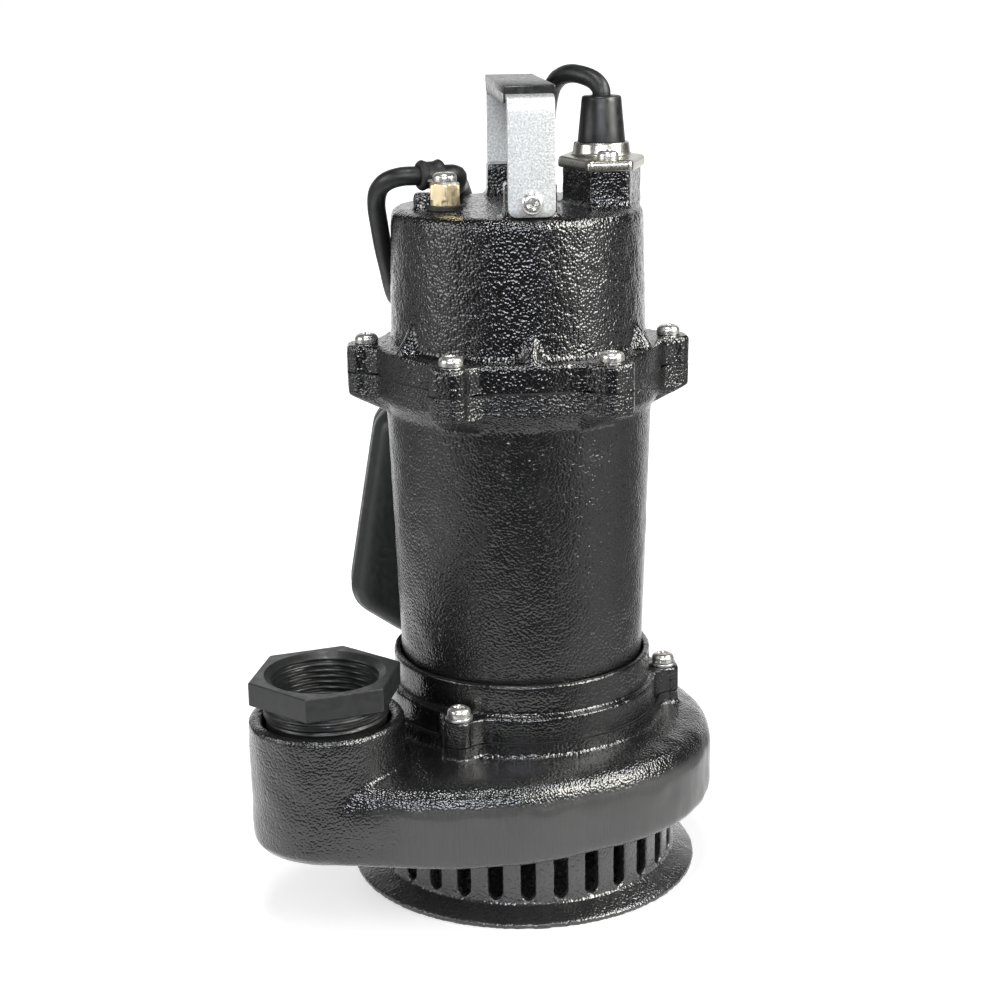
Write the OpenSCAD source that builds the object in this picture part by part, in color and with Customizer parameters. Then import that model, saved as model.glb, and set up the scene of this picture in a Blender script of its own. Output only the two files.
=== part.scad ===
// Submersible sump pump with a tethered float switch.
// Millimetres, +Z up. The origin is the centre of the foot, on the surface that the pump stands on.
// The handle runs along Y; the discharge stands to the left of the front.
// Angles round the pump's axis are counted from the front (-Y) towards the right (+X).

/* [Strainer base] */
// Radius of the foot lip
base_lip_r = 77.7; // [74:0.1:86]
// Height of the foot lip
base_lip_t = 2; // [1:0.5:4]
// Outer radius of the slotted wall
strainer_r = 68; // [66:0.5:72]
// Thickness of the slotted wall
strainer_wall = 4; // [3:0.5:6]
// Height at which the flared foot meets the slotted wall
flare_h = 6.8; // [5:0.2:9]
// Thickness of the floor
base_floor_t = 4; // [3:0.5:6]
// Height of the base
base_h = 35; // [30:1:45]
// Number of suction slots
slot_count = 30; // [18:1:36]
// Width of a suction slot
slot_w = 6; // [4:0.5:7]
// Height of the lower end of a slot
slot_low = 8.5; // [8:0.5:12]
// Height of the top ring above the slots
base_ring_t = 6; // [4:0.5:9]
// Angle of the first slot
slot_phase = 8; // [0:1:12]
// Radius of the circle of the base screws
base_screw_ring_r = 56; // [54:0.5:58]
// Radius of a screw post
post_r = 7; // [6.5:0.5:8]

/* [Volute] */
// Radius of the main round of the volute
volute_r = 80.5; // [76:0.5:84]
// Thickness of the volute floor
volute_floor_t = 7; // [6:0.5:9]
// Thickness of the volute's outer wall
volute_wall = 8; // [6:0.5:10]
// Height of the volute from its floor face to its shoulder top
volute_h = 36; // [34:0.5:42]
// Width of the rounded shoulder
shoulder_w = 12; // [8:0.5:14]
// Drop of the rounded shoulder
shoulder_h = 10.5; // [8:0.5:12]
// Rounding of the lower edge
volute_low_round = 4; // [2:0.5:6]
// Radius of the machined rim under the seal bracket
rim_r = 61.5; // [60.5:0.5:63]
// Height of the rim above the shoulder top
rim_h = 6; // [4:0.5:8]
// Radius of the impeller chamber
chamber_r = 47; // [46:0.5:48]
// Radius of the suction eye
eye_r = 22; // [18:0.5:25]

/* [Discharge] */
// Distance of the discharge from the pump's axis
discharge_r = 101; // [96:0.5:106]
// Angle of the discharge
discharge_angle = -60; // [-66:1:-54]
// Outer radius of the discharge boss
boss_r = 32.8; // [32:0.2:36]
// Height of the discharge boss above the volute's floor face
boss_h = 56.5; // [52:0.5:64]
// Radius of the flow passage in the boss
passage_r = 24; // [20:0.5:25]
// Radius of the external thread of the adapter
adapter_thread_r = 26.5; // [26:0.1:27.5]
// Depth that the adapter screws into the boss
adapter_in = 18; // [12:1:22]
// Visible length of thread between boss and hexagon
adapter_neck = 8; // [5:0.5:12]
// Height of the hexagon
hex_h = 10.3; // [8:0.1:14]
// Width of the hexagon across its flats
hex_af = 57.2; // [55:0.2:62]
// Turn of the hexagon
hex_turn = 16; // [0:1:59]
// Radius of the crest of the female pipe thread
port_r = 22.25; // [21:0.05:23.5]
// Radius of the chamfer at the port's mouth
port_mouth_r = 24.6; // [23.8:0.1:25]

/* [Seal bracket] */
// Thickness of the bracket flange
bracket_flange_t = 10.5; // [8:0.5:13]
// Radius of the bracket flange
bracket_flange_r = 60; // [59:0.5:61]
// Outer radius of the collar round the housing
collar_r = 57; // [56:0.5:58]
// Height of the collar above the bracket flange
collar_h = 13.5; // [10:0.5:18]
// Radius of the circle of the three bracket screws
bracket_screw_ring_r = 64; // [63.5:0.5:66]
// Radius of a bracket lug
bracket_lug_r = 6.7; // [6.3:0.1:8]
// Thickness of the bracket gasket
bracket_gasket_t = 0.5; // [0.3:0.1:1]

/* [Motor housing] */
// Outer radius at the housing's foot
housing_foot_r = 53; // [52:0.1:53.2]
// Outer radius under the upper flange
housing_top_r = 57; // [56:0.5:59]
// Height of the housing
housing_h = 139.2; // [130:0.2:155]
// Radius of the stator bore
housing_bore_r = 49; // [47:0.5:49.5]
// Radius of the flange between the lugs
flange_r = 61; // [60:0.5:62]
// Thickness of the housing flange
housing_flange_t = 9.7; // [8:0.1:12]
// Height of the sloped underside of the flange
flange_slope_h = 6.5; // [4:0.5:9]
// Radius of the circle of the six flange screws
flange_screw_ring_r = 65; // [64:0.5:67]
// Radius of a flange lug
flange_lug_r = 8.5; // [7.5:0.5:9]
// Thickness of the flange gasket
flange_gasket_t = 0.8; // [0.4:0.1:1.5]

/* [Upper cap] */
// Thickness of the cap flange
cap_flange_t = 11.3; // [9:0.1:13]
// Outer radius of the cap wall above the flange
cap_low_r = 54.7; // [54:0.1:56]
// Outer radius of the cap wall at the top
cap_top_r = 53.2; // [52.8:0.1:54]
// Height of the cap
cap_h = 68.4; // [64:0.2:80]
// Rounding of the cap's top edge
cap_round = 4; // [2:0.5:6]
// Thickness of the cap wall
cap_wall = 4.2; // [3.5:0.1:6]
// Thickness of the cap's top
cap_top_t = 5.4; // [4:0.2:8]
// Height of the gusset ribs
rib_h = 10; // [6:0.5:14]
// Thickness of the gusset ribs
rib_t = 3; // [2:0.5:5]

/* [Handle] */
// Width of the strap
strap_w = 19; // [16:0.5:24]
// Thickness of the strap
strap_t = 2; // [1.5:0.1:3]
// Distance between the outer faces of the strap's legs
strap_span = 101; // [99:0.5:103]
// Height of the strap
strap_h = 47.6; // [40:0.5:60]
// Side of the cut across the strap's lower corners
strap_corner = 3; // [1:0.5:5]
// Outer bend radius of the strap
strap_bend_r = 6; // [4:0.5:9]
// Length of the cast handle bosses along Y
handle_boss_l = 12; // [9:0.5:14]
// Height of the cast handle bosses
handle_boss_h = 13.6; // [11:0.2:18]
// Height of the handle screws above the cap's top
handle_screw_h = 6; // [5.5:0.1:8]
// Thickness of the grip's top
grip_t = 3.4; // [2.5:0.1:6]
// Depth of the grip's sides
grip_side_h = 7; // [5:0.5:10]
// Thickness of the grip's sides
grip_side_t = 1; // [0.8:0.1:2]

/* [Cable gland] */
// Position of the gland to the right of the pump's axis
gland_x = 36.5; // [35:0.5:37]
// Position of the gland behind the pump's axis
gland_y = 4; // [0:0.5:6]
// Half width of the gland boss
gland_half_w = 16.8; // [15.5:0.1:17.5]
// Half length of the gland boss
gland_half_l = 25; // [24:0.5:26]
// Half width of the gland boss at its ends
gland_end_half_w = 8; // [7:0.5:9]
// Height of the gland boss
gland_boss_h = 16.9; // [12:0.1:22]
// Overhang of the plate past the boss
plate_over = 1.9; // [1.5:0.1:3]
// Thickness of the gland plate
plate_t = 1.5; // [1:0.1:2.5]
// Depth of the plate's turned-down rim
plate_rim = 3; // [2:0.5:5]
// Thickness of the rubber pad under the plate
pad_t = 1; // [0.6:0.1:2]
// Outer radius of the plate's collar
collar_tube_r = 11.8; // [11:0.1:13]
// Height of the plate's collar
collar_tube_h = 5.7; // [4:0.1:8]
// Lower radius of the strain relief
relief_low_r = 10; // [9.8:0.1:11]
// Upper radius of the strain relief
relief_top_r = 8.3; // [7:0.1:9]
// Height of the strain relief above the collar
relief_h = 19; // [15:0.5:30]
// Distance of each gland screw from the gland's centre
gland_screw_y = 19; // [18:0.5:20]

/* [Float clamp] */
// Position of the brass post to the right of the pump's axis
post_x = -31.5; // [-34:0.5:-28]
// Position of the brass post behind the pump's axis
post_y = -22; // [-26:0.5:-20]
// Width of the brass post across its flats
post_af = 12; // [10:0.5:14]
// Height of the brass post
post_h = 9; // [7:0.5:14]
// Turn of the clamp round the post
clamp_turn = 20; // [0:1:30]
// Distance from the post to the middle of the clamped cord
clamp_reach = 15; // [13:0.5:18]
// Rise of the clamped cord above the post
clamp_rise = 2; // [1:0.5:3]
// Thickness of the clamp's metal
clamp_t = 0.8; // [0.6:0.1:1.5]
// Width of the clamp's band
clamp_w = 7; // [5:0.5:10]
// Thickness of the rubber between clamp and cord
cushion_t = 0.6; // [0.5:0.1:2]
// Height of the cushion's rims above its bore
cushion_rim = 1.2; // [0.9:0.1:2]

/* [Float] */
// Position of the float to the right of the pump's axis
float_x = -35; // [-40:0.5:-33]
// Position of the float behind the pump's axis
float_y = 84; // [84:0.5:92]
// Height of the float's underside above the ground
float_low = 78.5; // [78:0.5:84]
// Height of the float
float_h = 115.5; // [110:0.5:118]
// Width of the float
float_w = 80; // [70:0.5:80]
// Thickness of the float
float_t = 36; // [30:0.5:36]
// Rounding of the float's edges
float_round = 9; // [6:0.5:12]
// Wall of the float
float_wall = 2.5; // [1.8:0.1:4]
// Length of the float's cord boot
boot_h = 18; // [14:0.5:20]
// Height of the tether's bend above the float
tether_h = 42; // [38:0.5:46]
// Radius of the steel ball
ball_r = 9; // [7:0.5:10]
// Travel of the steel ball
ball_travel = 26; // [15:1:30]

/* [Motor] */
// Radius of the rotor
rotor_r = 27.5; // [24:0.5:30]
// Air gap between rotor and stator
air_gap = 0.5; // [0.3:0.1:1]
// Length of the stator core
stator_l = 64; // [50:1:70]
// Height of the stator core's lower face
stator_low = 128; // [122:1:132]
// Radius of the shaft
shaft_r = 6; // [5:0.5:7.5]
// Outer radius of the ball bearings
bearing_r = 16; // [14:0.5:19]
// Width of the ball bearings
bearing_w = 10; // [8:0.5:12]
// Radius of the impeller
impeller_r = 44; // [38:0.5:45.5]
// Number of impeller vanes
vane_count = 6; // [4:1:8]
// Height of the impeller vanes
vane_h = 13; // [9:0.5:14]
// Radius of the run capacitor
capacitor_r = 17.5; // [15:0.5:18]
// Height of the run capacitor
capacitor_h = 58; // [45:1:62]

/* [Cords] */
// Radius of the cords
cord_r = 4; // [3.5:0.1:4.5]
// Distance between neighbouring turns of a coil
turn_pitch = 8.2; // [8.1:0.1:9.5]
// Turns beside each other in a coil
turns_across = 4; // [3:1:5]
// Radius of the middle of the turns
coil_mid_r = 48; // [46:0.5:50]
// Position of the coils to the right of the pump's axis
coil_x = 12; // [10:0.5:14]
// Position of the coils behind the pump's axis
coil_y = 158; // [156:0.5:162]
// Thickness of the coil ties
tie_t = 1; // [0.8:0.1:1.5]
// Width of the coil ties
tie_w = 8; // [5:0.5:12]

/* [Fasteners] */
// Radius of the shank of the machine screws
screw_r = 2.5; // [2:0.1:3]
// Radius of their pan heads
head_r = 5; // [4.4:0.1:5.5]
// Height of their pan heads
head_h = 4; // [3:0.1:5]
// Radius of the shank of the small screws
small_screw_r = 2; // [1.5:0.1:2.2]
// Radius of their heads
small_head_r = 4.6; // [3.8:0.1:4.8]
// Radius of the spring washers
washer_r = 5.8; // [5.2:0.1:6.2]
// Thickness of the spring washers
washer_t = 1.4; // [1:0.1:2]

/* [Fits] */
// Radial gap of a bearing on the shaft
run_gap = 0.03; // [0.02:0.01:0.08]
// Gap round a piece that is screwed or slipped in
slip_gap = 0.1; // [0.05:0.05:0.2]
// Gap beside a soft or loosely seated piece
soft_gap = 0.3; // [0.2:0.05:0.5]

/* [Hidden] */
$fn = 64;
eps = 0.01;
through = 1;

// Heights of the stack, from the ground up
volute_z = base_h;
shoulder_top = volute_z + volute_h;
rim_top = shoulder_top + rim_h;
bracket_z = rim_top + bracket_gasket_t;
bracket_seat = bracket_z + bracket_flange_t;
collar_top = bracket_seat + collar_h;
housing_top = bracket_seat + housing_h;
cap_z = housing_top + flange_gasket_t;
cap_flange_top = cap_z + cap_flange_t;
cap_top = cap_z + cap_h;
boss_top = volute_z + boss_h;
hex_z = boss_top + adapter_neck;
port_top = hex_z + hex_h;

// Angles of the lugs, ribs and screws
flange_lugs = [30, 90, 150, 210, 270, 330];
rib_angles = [0, 60, 120, 180, 240, 300];
bracket_lugs = [-30, 90, 210];
bolt_angles = [30, 150, 270];
base_post_angles = [50, 140, 230, 320];

discharge_x = discharge_r * sin(discharge_angle);
discharge_y = -discharge_r * cos(discharge_angle);

// The volute's plan is drawn with rounds: centre x, centre y, radius
main_round = [3.7, -3.4, volute_r];
throat_round = [-14.8, -28.7, volute_r - 17.5];
front_round = [-38, -57.2, volute_r - 45.5];
foot_round = [discharge_x, discharge_y, boss_r - 1.5];
inner_round = [-45, -40, 30];

// Housing bolts and internal seats
collar_gap = 1;
hub_r = bearing_r + 5;
housing_floor_t = 10;
housing_mouth_r = hub_r + 4;
bracket_bite = 12;
flange_bite = 8;
bolt_bite = 8;
handle_bite = 10;
base_screw_seat = 8;
collector_h = 20;
passage_z = volute_z + volute_floor_t + 13;
passage_side_r = 13;
port_depth = 24;
stud_in = 6;
boot_r = 8;
grip_teeth = 16;
stator_slots = 12;
stator_slot_in = 31.5;
stator_slot_l = 13;
stator_slot_w = 7;
winding_h = 13;
capacitor_x = -22;
capacitor_y = 18;
blade_pitch = 12.7;
blade_t = 1.6;
blade_w = 6.4;
blade_l = 17;
tie_angles = [100, 220, 300];
tie_play = 0.5;
bolt_ring_r = chamber_r - 5;
bolt_head_r = 4.3;
bolt_head_h = 4.3;
pilot_t = 3.5;
bolt_l = pilot_t + bracket_flange_t + bolt_bite;
hub_top = collar_top - 0.5;
seal_seat_r = 13;
seal_seat_t = 6;
shaft_hole_r = shaft_r + 3;
plate_seat_z = housing_top - 13;
plate_seat_r = housing_bore_r + 2.6;
bearing_plate_t = 6;
bearing_plate_top = plate_seat_z + bearing_plate_t;
upper_bearing_z = bearing_plate_top - bearing_w;
lower_bearing_z = hub_top - bearing_w;

// Impeller stack
vane_low = volute_z + volute_floor_t + 2;
vane_top = vane_low + vane_h;
impeller_disc_t = 3.5;
impeller_hub_r = 11;
impeller_top = vane_top + impeller_disc_t;
seal_head_z = impeller_top + 1;
nut_h = 6;
shaft_low = vane_low - nut_h - 1;
shaft_top = upper_bearing_z + bearing_w + 0.5;

// Top of the cap
gland_boss_top = cap_top + gland_boss_h;
plate_low = gland_boss_top + pad_t;
plate_top = plate_low + plate_t;
collar_tube_top = plate_top + collar_tube_h;
collar_bore_r = relief_low_r - 0.4;
relief_top = collar_tube_top + relief_h;
pad_disc_r = 9;
pad_disc_h = 1.2;
post_washer_r = 7.5;
post_washer_h = 1.6;
post_z = cap_top + pad_disc_h + post_washer_h;
post_top = post_z + post_h;
stud_r = 3;
strap_inner = strap_span / 2 - strap_t;
strap_low = cap_top + 0.5;
strap_top = strap_low + strap_h;
handle_x = 1.3;
handle_screw_z = cap_top + handle_screw_h;

// Clamp
clamp_bore_r = cord_r + cushion_t + slip_gap;
clamp_cord_z = post_top + clamp_rise;
clamp_stop_h = clamp_cord_z - clamp_bore_r - cushion_rim - 1 - cap_top;

// Float
float_top = float_low + float_h;
float_mid_z = float_low + float_h / 2;
pivot_z = float_top + tether_h;
track_bore_r = ball_r + 0.4;
track_wall = 1.5;
ball_rest_z = float_low + float_wall + ball_r + 4;
track_low = ball_rest_z - ball_r - 2;
track_top = ball_rest_z + ball_travel + ball_r;
switch_h = 12;

// Cord coils: the power cord lies below, the float cord above
layer_h = turn_pitch;
coil_half_w = turns_across * turn_pitch / 2;
coil_h = 2 * layer_h;
power_coil_z = tie_t + 0.2;
float_coil_z = power_coil_z + coil_h;
coils_top = float_coil_z + coil_h;
coil_outer_r = coil_mid_r + coil_half_w - turn_pitch / 2;
cord_sides = 10;

// Power plug, on the ground behind the coils, its blades to the left
power_plug_l = 36;
power_plug_w = 27;
power_plug_t = 22;
power_neck_l = 26;
power_plug_x = 16;
power_plug_y = 237;
power_plug_z = power_plug_t / 2;

// Float plug, lying on the coils, its blades to the right
float_plug_l = 38;
float_plug_w = 29;
float_plug_t = 22;
float_neck_l = 18;
float_plug_x = -16;
float_plug_y = coil_y - coil_mid_r + 0.2;
float_plug_z = coils_top + float_plug_t / 2 + 0.2;

// The cords' routes: points chosen along each centreline
power_route = [
    [gland_x, gland_y, relief_top], [36.4, 4.1, 342.4], [35.6, 5.3, 344.4],
    [33.6, 7.6, 346.6], [30, 11, 348.3],
    [25.5, 16, 349], [21.5, 22, 347.5], [19, 29, 343.5], [18, 36, 337.5], [17.8, 43, 330],
    [18, 50, 320.5], [18.5, 56, 309], [19.3, 61, 296], [20.5, 64.8, 281], [22.5, 68, 264],
    [24.8, 71, 245], [26.7, 72.7, 222], [28, 74, 198], [29.5, 76, 174], [31.5, 79, 151],
    [34.5, 82, 128], [38.5, 85.5, 106], [43.5, 89, 85], [49, 92.5, 65], [54.5, 97, 47],
    [60, 102.5, 32], [65.5, 109.5, 20], [70.5, 119, 12], [73.6, 130.5, 7.7],
    [74.2, 143, 5.9], [73, 151.5, 5.3], [72.3, 158, 5.3]
];
float_route = [
    [-36, 80.3, 238.4], [-39.5, 74, 241], [-43.5, 65.5, 244], [-47, 56, 246.8],
    [-49.5, 47, 249.5], [-51.3, 38.5, 253.5], [-52.8, 30, 259.5], [-54.3, 22, 267.5],
    [-56.3, 14.5, 277.5], [-57.9, 8, 288], [-59, 2, 297.5], [-58, -3.5, 304],
    [-54.5, -7.8, 308], [-48.7, -10.4, 310], [-42.2, -10, 310.2], [-31, -5.9, 310.2],
    [-26.7, -3, 309.9], [-24.6, 2.5, 308.5], [-24.2, 10, 306], [-24, 20, 303.6],
    [-23, 31, 301.6], [-21.9, 40, 300.9], [-21.1, 45.5, 300.6], [-20.4, 49.8, 299.6],
    [-18.3, 56.3, 293.8],
    [-15, 61, 286], [-11, 65, 276], [-5.5, 68, 264.5], [1, 70.2, 252], [7.5, 71.5, 240],
    [12.5, 72.3, 227], [15.5, 73, 210], [17, 73.7, 192], [18.2, 75.3, 172], [19.7, 78, 151],
    [22, 82, 130], [26, 87, 108], [31.5, 93.5, 87], [38.5, 101, 68], [47, 109.5, 52],
    [57, 118.5, 40], [65.5, 130.5, 30.5], [70.8, 144, 24.2], [72.1, 151.5, 22.2],
    [72.3, 158, 21.7]
];
power_tail = [
    [71.4, 168.5, 13.5], [70.9, 177, 13.5], [70.5, 186, 13.2], [70.3, 196, 12.6],
    [70.2, 208.8, 11.8], [68, 219.6, 11.3], [61.9, 228.7, 11.1], [52.8, 234.8, 11],
    [42, 237, 11]
];
float_tail = [
    [-48.3, 158, 29.9], [-48.7, 147, 31.6], [-48, 136, 34.6], [-45.3, 125.5, 38.6],
    [-40.8, 116.5, 42.6], [-34, 110.2, 45.2]
];

// Directions along a route, and a sideways vector carried along it without twist
function unit(v) = v / norm(v);
function step_dir(p, i) = unit(p[i + 1] - p[i]);
function along(p, i) =
    i == 0 ? step_dir(p, 0) :
    i == len(p) - 1 ? step_dir(p, i - 1) :
    unit(step_dir(p, i) + step_dir(p, i - 1));
function flat_to(u, t) = unit(u - t * (u * t));
function sides_from(p, i, u) =
    i == len(p) ? [] :
    let (v = flat_to(u, along(p, i))) concat([v], sides_from(p, i + 1, v));
function ring_at(c, t, v, r, n) =
    let (w = cross(t, v))
    [for (k = [0 : n - 1]) c + r * (v * cos(360 * k / n) + w * sin(360 * k / n))];

module tube(p, r, n = cord_sides) {
    sides = sides_from(p, 0, [1, 0.3, 0.1]);
    points = [for (i = [0 : len(p) - 1]) each ring_at(p[i], along(p, i), sides[i], r, n)];
    walls = [for (i = [0 : len(p) - 2]) for (k = [0 : n - 1]) each [
        [i * n + k, i * n + (k + 1) % n, (i + 1) * n + k],
        [i * n + (k + 1) % n, (i + 1) * n + (k + 1) % n, (i + 1) * n + k]
    ]];
    start = [[for (k = [n - 1 : -1 : 0]) k]];
    finish = [[for (k = [0 : n - 1]) (len(p) - 1) * n + k]];
    polyhedron(points, concat(start, [for (f = walls) [f[0], f[1], f[2]]], finish));
}

// Places a child at radius r and angle a, with its local -Y pointing outwards
module around(a, r) {
    rotate([0, 0, a]) {
        translate([0, -r, 0]) children();
    }
}

module ring(outer, inner, h) {
    difference() {
        cylinder(r = outer, h = h);
        translate([0, 0, -through]) cylinder(r = inner, h = h + 2 * through);
    }
}

// A pan-head screw with a cross recess; its head stands on z = 0 and the shank points down
module pan_screw(shank, head, height, length) {
    difference() {
        union() {
            cylinder(r = head, h = height * 0.55);
            translate([0, 0, height * 0.55]) {
                cylinder(r1 = head, r2 = head * 0.72, h = height * 0.45);
            }
            translate([0, 0, -length]) cylinder(r = shank, h = length + 0.5);
        }
        for (a = [0, 90]) {
            rotate([0, 0, a + 20]) {
                translate([-head * 0.5, -head * 0.11, height * 0.55]) {
                    cube([head, head * 0.22, height]);
                }
            }
        }
    }
}

// Base ---------------------------------------------------------------------------------------

module slot_cut() {
    top = base_h - base_ring_t;
    depth = base_lip_r - strainer_r + strainer_wall + 6;
    translate([-slot_w / 2, -base_lip_r - through, slot_low + slot_w / 2]) {
        cube([slot_w, depth, top - slot_low - slot_w]);
    }
    for (z = [slot_low + slot_w / 2, top - slot_w / 2]) {
        translate([0, -base_lip_r - through, z]) {
            rotate([-90, 0, 0]) cylinder(r = slot_w / 2, h = depth);
        }
    }
}

module strainer_base() {
    color([0.09, 0.09, 0.1]) difference() {
        union() {
            difference() {
                union() {
                    cylinder(r = base_lip_r, h = base_lip_t);
                    translate([0, 0, base_lip_t]) {
                        cylinder(r1 = base_lip_r, r2 = strainer_r, h = flare_h - base_lip_t);
                    }
                    cylinder(r = strainer_r, h = base_h);
                }
                translate([0, 0, base_floor_t]) {
                    cylinder(r = strainer_r - strainer_wall, h = base_h);
                }
                for (i = [0 : slot_count - 1]) {
                    rotate([0, 0, slot_phase + i * 360 / slot_count]) slot_cut();
                }
            }
            for (a = base_post_angles) {
                around(a, base_screw_ring_r) cylinder(r = post_r, h = base_h);
            }
        }
        for (a = base_post_angles) {
            around(a, base_screw_ring_r) {
                translate([0, 0, -through]) {
                    cylinder(r = screw_r + slip_gap, h = base_h + 2 * through);
                    cylinder(r = head_r + soft_gap, h = base_screw_seat + through);
                }
            }
        }
    }
}

module base_screws() {
    color([0.62, 0.62, 0.6]) {
        for (a = base_post_angles) {
            around(a, base_screw_ring_r) {
                translate([0, 0, base_screw_seat]) {
                    mirror([0, 0, 1]) {
                        pan_screw(screw_r, head_r, head_h, base_h - base_screw_seat + 5);
                    }
                }
            }
        }
    }
}

// Volute -------------------------------------------------------------------------------------

// One round of the volute, its lower edge eased and its shoulder rounded
module volute_round(d) {
    r = d[2];
    k = volute_low_round;
    translate([d[0], d[1], volute_z]) {
        cylinder(r1 = r - k, r2 = r - k * 0.3, h = k * 0.3, $fn = 56);
        cylinder(r1 = r - k, r2 = r, h = k, $fn = 56);
        translate([0, 0, k]) cylinder(r = r, h = volute_h - shoulder_h - k, $fn = 56);
        translate([0, 0, volute_h - shoulder_h]) {
            cylinder(r1 = r, r2 = r - shoulder_w * 0.2, h = shoulder_h * 0.6, $fn = 56);
            cylinder(r1 = r, r2 = r - shoulder_w * 0.46, h = shoulder_h * 0.84, $fn = 56);
            cylinder(r1 = r, r2 = r - shoulder_w, h = shoulder_h, $fn = 56);
        }
    }
}

module volute() {
    color([0.1, 0.1, 0.11]) difference() {
        union() {
            hull() {
                volute_round(main_round);
                volute_round(throat_round);
                volute_round(front_round);
            }
            hull() {
                volute_round(front_round);
                volute_round(foot_round);
                volute_round(inner_round);
            }
            translate([0, 0, shoulder_top - 4]) cylinder(r = rim_r, h = rim_h + 4);
            for (a = bracket_lugs) {
                around(a, bracket_screw_ring_r) {
                    translate([0, 0, shoulder_top - 12]) {
                        cylinder(r = bracket_lug_r, h = rim_h + 12);
                    }
                }
            }
            translate([discharge_x, discharge_y, volute_z]) {
                cylinder(r1 = boss_r - 4, r2 = boss_r, h = 4);
                translate([0, 0, 4]) cylinder(r = boss_r, h = boss_h - 5.5);
                translate([0, 0, boss_h - 1.5]) {
                    cylinder(r1 = boss_r, r2 = boss_r - 1.5, h = 1.5);
                }
            }
        }
        // Impeller chamber, open at the top, and the collector round it
        translate([0, 0, volute_z + volute_floor_t]) {
            cylinder(r = chamber_r, h = volute_h + rim_h);
            translate([main_round[0], main_round[1], 0]) {
                cylinder(r = volute_r - volute_wall, h = collector_h);
            }
            translate([throat_round[0], throat_round[1], 0]) {
                cylinder(r = throat_round[2] - volute_wall, h = collector_h);
            }
        }
        translate([0, 0, volute_z - through]) {
            cylinder(r = eye_r, h = volute_floor_t + 2 * through);
        }
        // Passage to the discharge, then up through the boss
        translate([discharge_x, discharge_y, passage_z]) {
            rotate([0, 90, 14]) cylinder(r = passage_side_r, h = 70);
        }
        translate([discharge_x, discharge_y, volute_z + volute_floor_t]) {
            cylinder(r = passage_r, h = boss_h);
        }
        translate([discharge_x, discharge_y, boss_top - adapter_in]) {
            cylinder(r = adapter_thread_r + slip_gap, h = adapter_in + through);
            translate([0, 0, adapter_in - 2]) {
                cylinder(r1 = adapter_thread_r, r2 = adapter_thread_r + 3, h = 2 + eps);
            }
        }
        for (a = bracket_lugs) {
            around(a, bracket_screw_ring_r) {
                translate([0, 0, rim_top - bracket_bite]) {
                    cylinder(r = screw_r + slip_gap / 2, h = bracket_bite + through);
                }
            }
        }
        for (a = base_post_angles) {
            around(a, base_screw_ring_r) {
                translate([0, 0, volute_z - through]) cylinder(r = screw_r, h = 5.5 + through);
            }
        }
    }
}

module bracket_gasket() {
    color([0.16, 0.15, 0.14]) translate([0, 0, rim_top]) difference() {
        union() {
            cylinder(r = bracket_flange_r, h = bracket_gasket_t);
            for (a = bracket_lugs) {
                around(a, bracket_screw_ring_r) {
                    cylinder(r = bracket_lug_r - 0.5, h = bracket_gasket_t);
                }
            }
        }
        translate([0, 0, -through]) cylinder(r = chamber_r + 0.5, h = 3);
        for (a = bracket_lugs) {
            around(a, bracket_screw_ring_r) {
                translate([0, 0, -through]) cylinder(r = screw_r + slip_gap, h = 3);
            }
        }
    }
}

module lower_bracket() {
    color([0.11, 0.11, 0.12]) difference() {
        union() {
            translate([0, 0, bracket_z]) cylinder(r = bracket_flange_r, h = bracket_flange_t);
            for (a = bracket_lugs) {
                around(a, bracket_screw_ring_r) {
                    translate([0, 0, bracket_z]) {
                        cylinder(r = bracket_lug_r, h = bracket_flange_t);
                    }
                }
            }
            translate([0, 0, bracket_seat - 1]) {
                ring(collar_r, housing_foot_r + collar_gap, collar_h + 1);
            }
            translate([0, 0, bracket_z - pilot_t]) {
                cylinder(r = chamber_r - slip_gap, h = pilot_t + 1);
            }
            translate([0, 0, bracket_z]) cylinder(r = hub_r, h = hub_top - bracket_z);
        }
        translate([0, 0, bracket_z - pilot_t - through]) {
            cylinder(r = shaft_hole_r, h = collar_top);
            cylinder(r = seal_seat_r, h = seal_seat_t + through);
        }
        translate([0, 0, lower_bearing_z]) cylinder(r = bearing_r, h = bearing_w + through);
        for (a = bracket_lugs) {
            around(a, bracket_screw_ring_r) {
                translate([0, 0, bracket_z - through]) {
                    cylinder(r = screw_r + slip_gap, h = bracket_flange_t + 2 * through);
                }
            }
        }
        for (a = bolt_angles) {
            around(a, bolt_ring_r) {
                translate([0, 0, bracket_z - pilot_t - through]) {
                    cylinder(r = screw_r + slip_gap, h = pilot_t + bracket_flange_t + 2 * through);
                }
            }
        }
    }
}

module bracket_screws() {
    color([0.72, 0.72, 0.7]) {
        for (a = bracket_lugs) {
            around(a, bracket_screw_ring_r) {
                translate([0, 0, bracket_seat + washer_t]) {
                    pan_screw(screw_r, head_r, head_h, bracket_seat + washer_t - rim_top + bracket_bite - 1);
                }
            }
        }
    }
}

module spring_washers() {
    color([0.6, 0.6, 0.58]) {
        for (a = bracket_lugs) {
            around(a, bracket_screw_ring_r) {
                translate([0, 0, bracket_seat]) difference() {
                    ring(washer_r, screw_r + slip_gap, washer_t);
                    rotate([0, 0, 25]) translate([0, -0.4, -through]) cube([20, 0.8, 5]);
                }
            }
        }
    }
}

module housing_bolts() {
    color([0.6, 0.6, 0.58]) {
        for (a = bolt_angles) {
            around(a, bolt_ring_r) {
                translate([0, 0, bracket_z - pilot_t]) {
                    mirror([0, 0, 1]) {
                        cylinder(r = bolt_head_r, h = bolt_head_h, $fn = 6);
                        translate([0, 0, -bolt_l]) cylinder(r = screw_r, h = bolt_l + 0.5);
                    }
                }
            }
        }
    }
}

// Motor housing ------------------------------------------------------------------------------

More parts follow.
